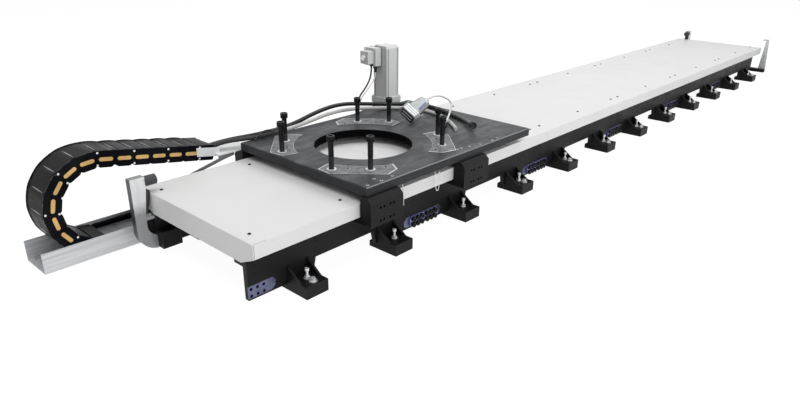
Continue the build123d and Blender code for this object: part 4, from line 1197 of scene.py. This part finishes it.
# Motor: flange and cap screws, the boxes' screws, a dark block as painted shade in the gap at the
# box's face, and a connector nut
MOTOR_TOP = 690
CAP_SCREW = 36
FLANGE_TOP = 390
FLANGE_SCREW = 55
BOX_SCREW = (-50, 39, 43.5)
BOX_GAP_SHADE = (47.5, 52)


def motor_details():
    screws = Pile()
    for sx, sy in QUARTERS:
        spot = at(MOTOR_X + sx * FLANGE_SCREW, MOTOR_Y + sy * FLANGE_SCREW, FLANGE_TOP)
        socket_head(screws, spot, UP, 5.5, 6, 2.4, sides=18)
        spot = at(MOTOR_X + sx * CAP_SCREW, MOTOR_Y + sy * CAP_SCREW, MOTOR_TOP)
        screws.turned(spot, UP, [(4.5, -3), (4.5, -0.2), (3.5, 0)], 16)
        back, out, high = BOX_SCREW
        spot = at(BOX_FACE + back, BOX_Y + sx * out, BOX_Z + sy * high)
        button_head(screws, spot, BACK, 4, 2.4, 1.4)
    nut = [(15.5, 0, True), (15.5, 6, True), (13.5, 8)]
    screws.turned(at(BOX_LID, BOX_Y, BOX_Z), BACK, nut, 24)
    screws.piece("motor_screws", "carriage", BRIGHT, "bright_steel", smooth=35)
    # Near-black block at the box's face: painted shade for the narrow gap between box and motor.
    gap_shade = Pile()
    out, high = BOX_GAP_SHADE
    near = at(BOX_FACE - 3, BOX_Y - out, BOX_Z - high)
    gap_shade.block(near, at(BOX_FACE + 1, BOX_Y + out, BOX_Z + high))
    gap_shade.piece("motor_gap_shade", "carriage", PAINTED_SHADE, "black_oxide")


# Stops: screws through the shank, the dark web in the hook and a curved rubber wiper above it
STOP_SCREW = (62, 353)
STOP_SCREW_ROWS = (205, 250)
WEB_Y = 336
WEB_T = 6
WIPER_Y = 322
WIPER_T = 28


def stop_details():
    screws = Pile()
    webs = Pile()
    wipers = Pile()
    for end, way in ((0, 1), (BAYS * BAY, -1)):
        for z in STOP_SCREW_ROWS:
            spot = at(end - way * STOP_SCREW[0], STOP_SCREW[1], z)
            socket_head(screws, spot, FAR, 6, 6, 2.5, sides=18)
        outline = [(-33, 164), (3, 164), (3, 84), (-22, 100), (-33, 138)]
        webs.prism([at(end + way * x, WEB_Y, z) for x, z in outline], FAR * WEB_T * MM)
        outer = [(-30 + 24 * math.sin(step * math.pi / 12), 192 + 17 * step) for step in range(7)]
        inner = [(x + 7, z - 3) for x, z in reversed(outer)]
        base = [at(end + way * x, WIPER_Y, z) for x, z in outer + inner]
        wipers.prism(base, FAR * WIPER_T * MM)
    screws.piece("stop_screws", "track", OXIDE, "black_oxide", smooth=35)
    webs.piece("stop_webs", "track", BLACK, "black_oxide")
    wipers.piece("stop_wipers", "track", RUBBER, "hose_rubber", smooth=40)


# Floor and light, in metres; a lamp's name, place, aim, size and watts
FLOOR_REACH = 40.0
FLOOR_DROP = 0.0005
SKY_LIGHT = 0.16
SKY_SEEN = 1.0
LAMPS = (
    ("light_left", (-3.6, 0.0, 5.0), (-3.2, 0, 0), (3.5, 4), 122),
    ("light_right", (1.6, 0.0, 5.0), (1.4, 0, 0), (6, 4), 182),
    ("light_near", (-2.6, -6.0, 2.6), (-1.2, 0, 0.3), (7, 3), 185),
    ("light_front", (-8.0, 0.5, 3.0), (-2.5, 0.4, 0.3), (3, 3), 10),
)


def studio():
    mesh = bpy.data.meshes.new("floor")
    corners = [(x * FLOOR_REACH, y * FLOOR_REACH, 0) for x, y in QUARTERS]
    mesh.from_pydata(corners, [], [(0, 2, 3, 1)])
    mesh.materials.append(floor_material())
    floor = add_object("floor", mesh)
    floor.location.z = -FLOOR_DROP
    world = bpy.data.worlds.new("studio")
    world.use_nodes = True
    sky = world.node_tree.nodes["Background"]
    sky.inputs["Color"].default_value = (1.0, 1.0, 1.0, 1.0)
    level = world.node_tree.nodes.new("ShaderNodeMapRange")
    level.inputs["To Min"].default_value = SKY_LIGHT
    level.inputs["To Max"].default_value = SKY_SEEN
    world.node_tree.links.new(seen_directly(world.node_tree), level.inputs["Value"])
    world.node_tree.links.new(level.outputs["Result"], sky.inputs["Strength"])
    bpy.context.scene.world = world
    for lamp in LAMPS:
        panel(*lamp)


def panel(name, place, aim, size, power):
    data = bpy.data.lights.new(name, "AREA")
    data.shape = "RECTANGLE"
    data.size, data.size_y = size
    data.energy = power
    light = add_object(name, data)
    light.location = place
    light.rotation_euler = (Vector(aim) - Vector(place)).to_track_quat("-Z", "Y").to_euler()


cords()
loose_ends()
chain()
cover_details()
beam_details()
feet_details()
robot_screws()
plate_details()
lubrication_lines()
hood_details()
motor_details()
stop_details()
studio()
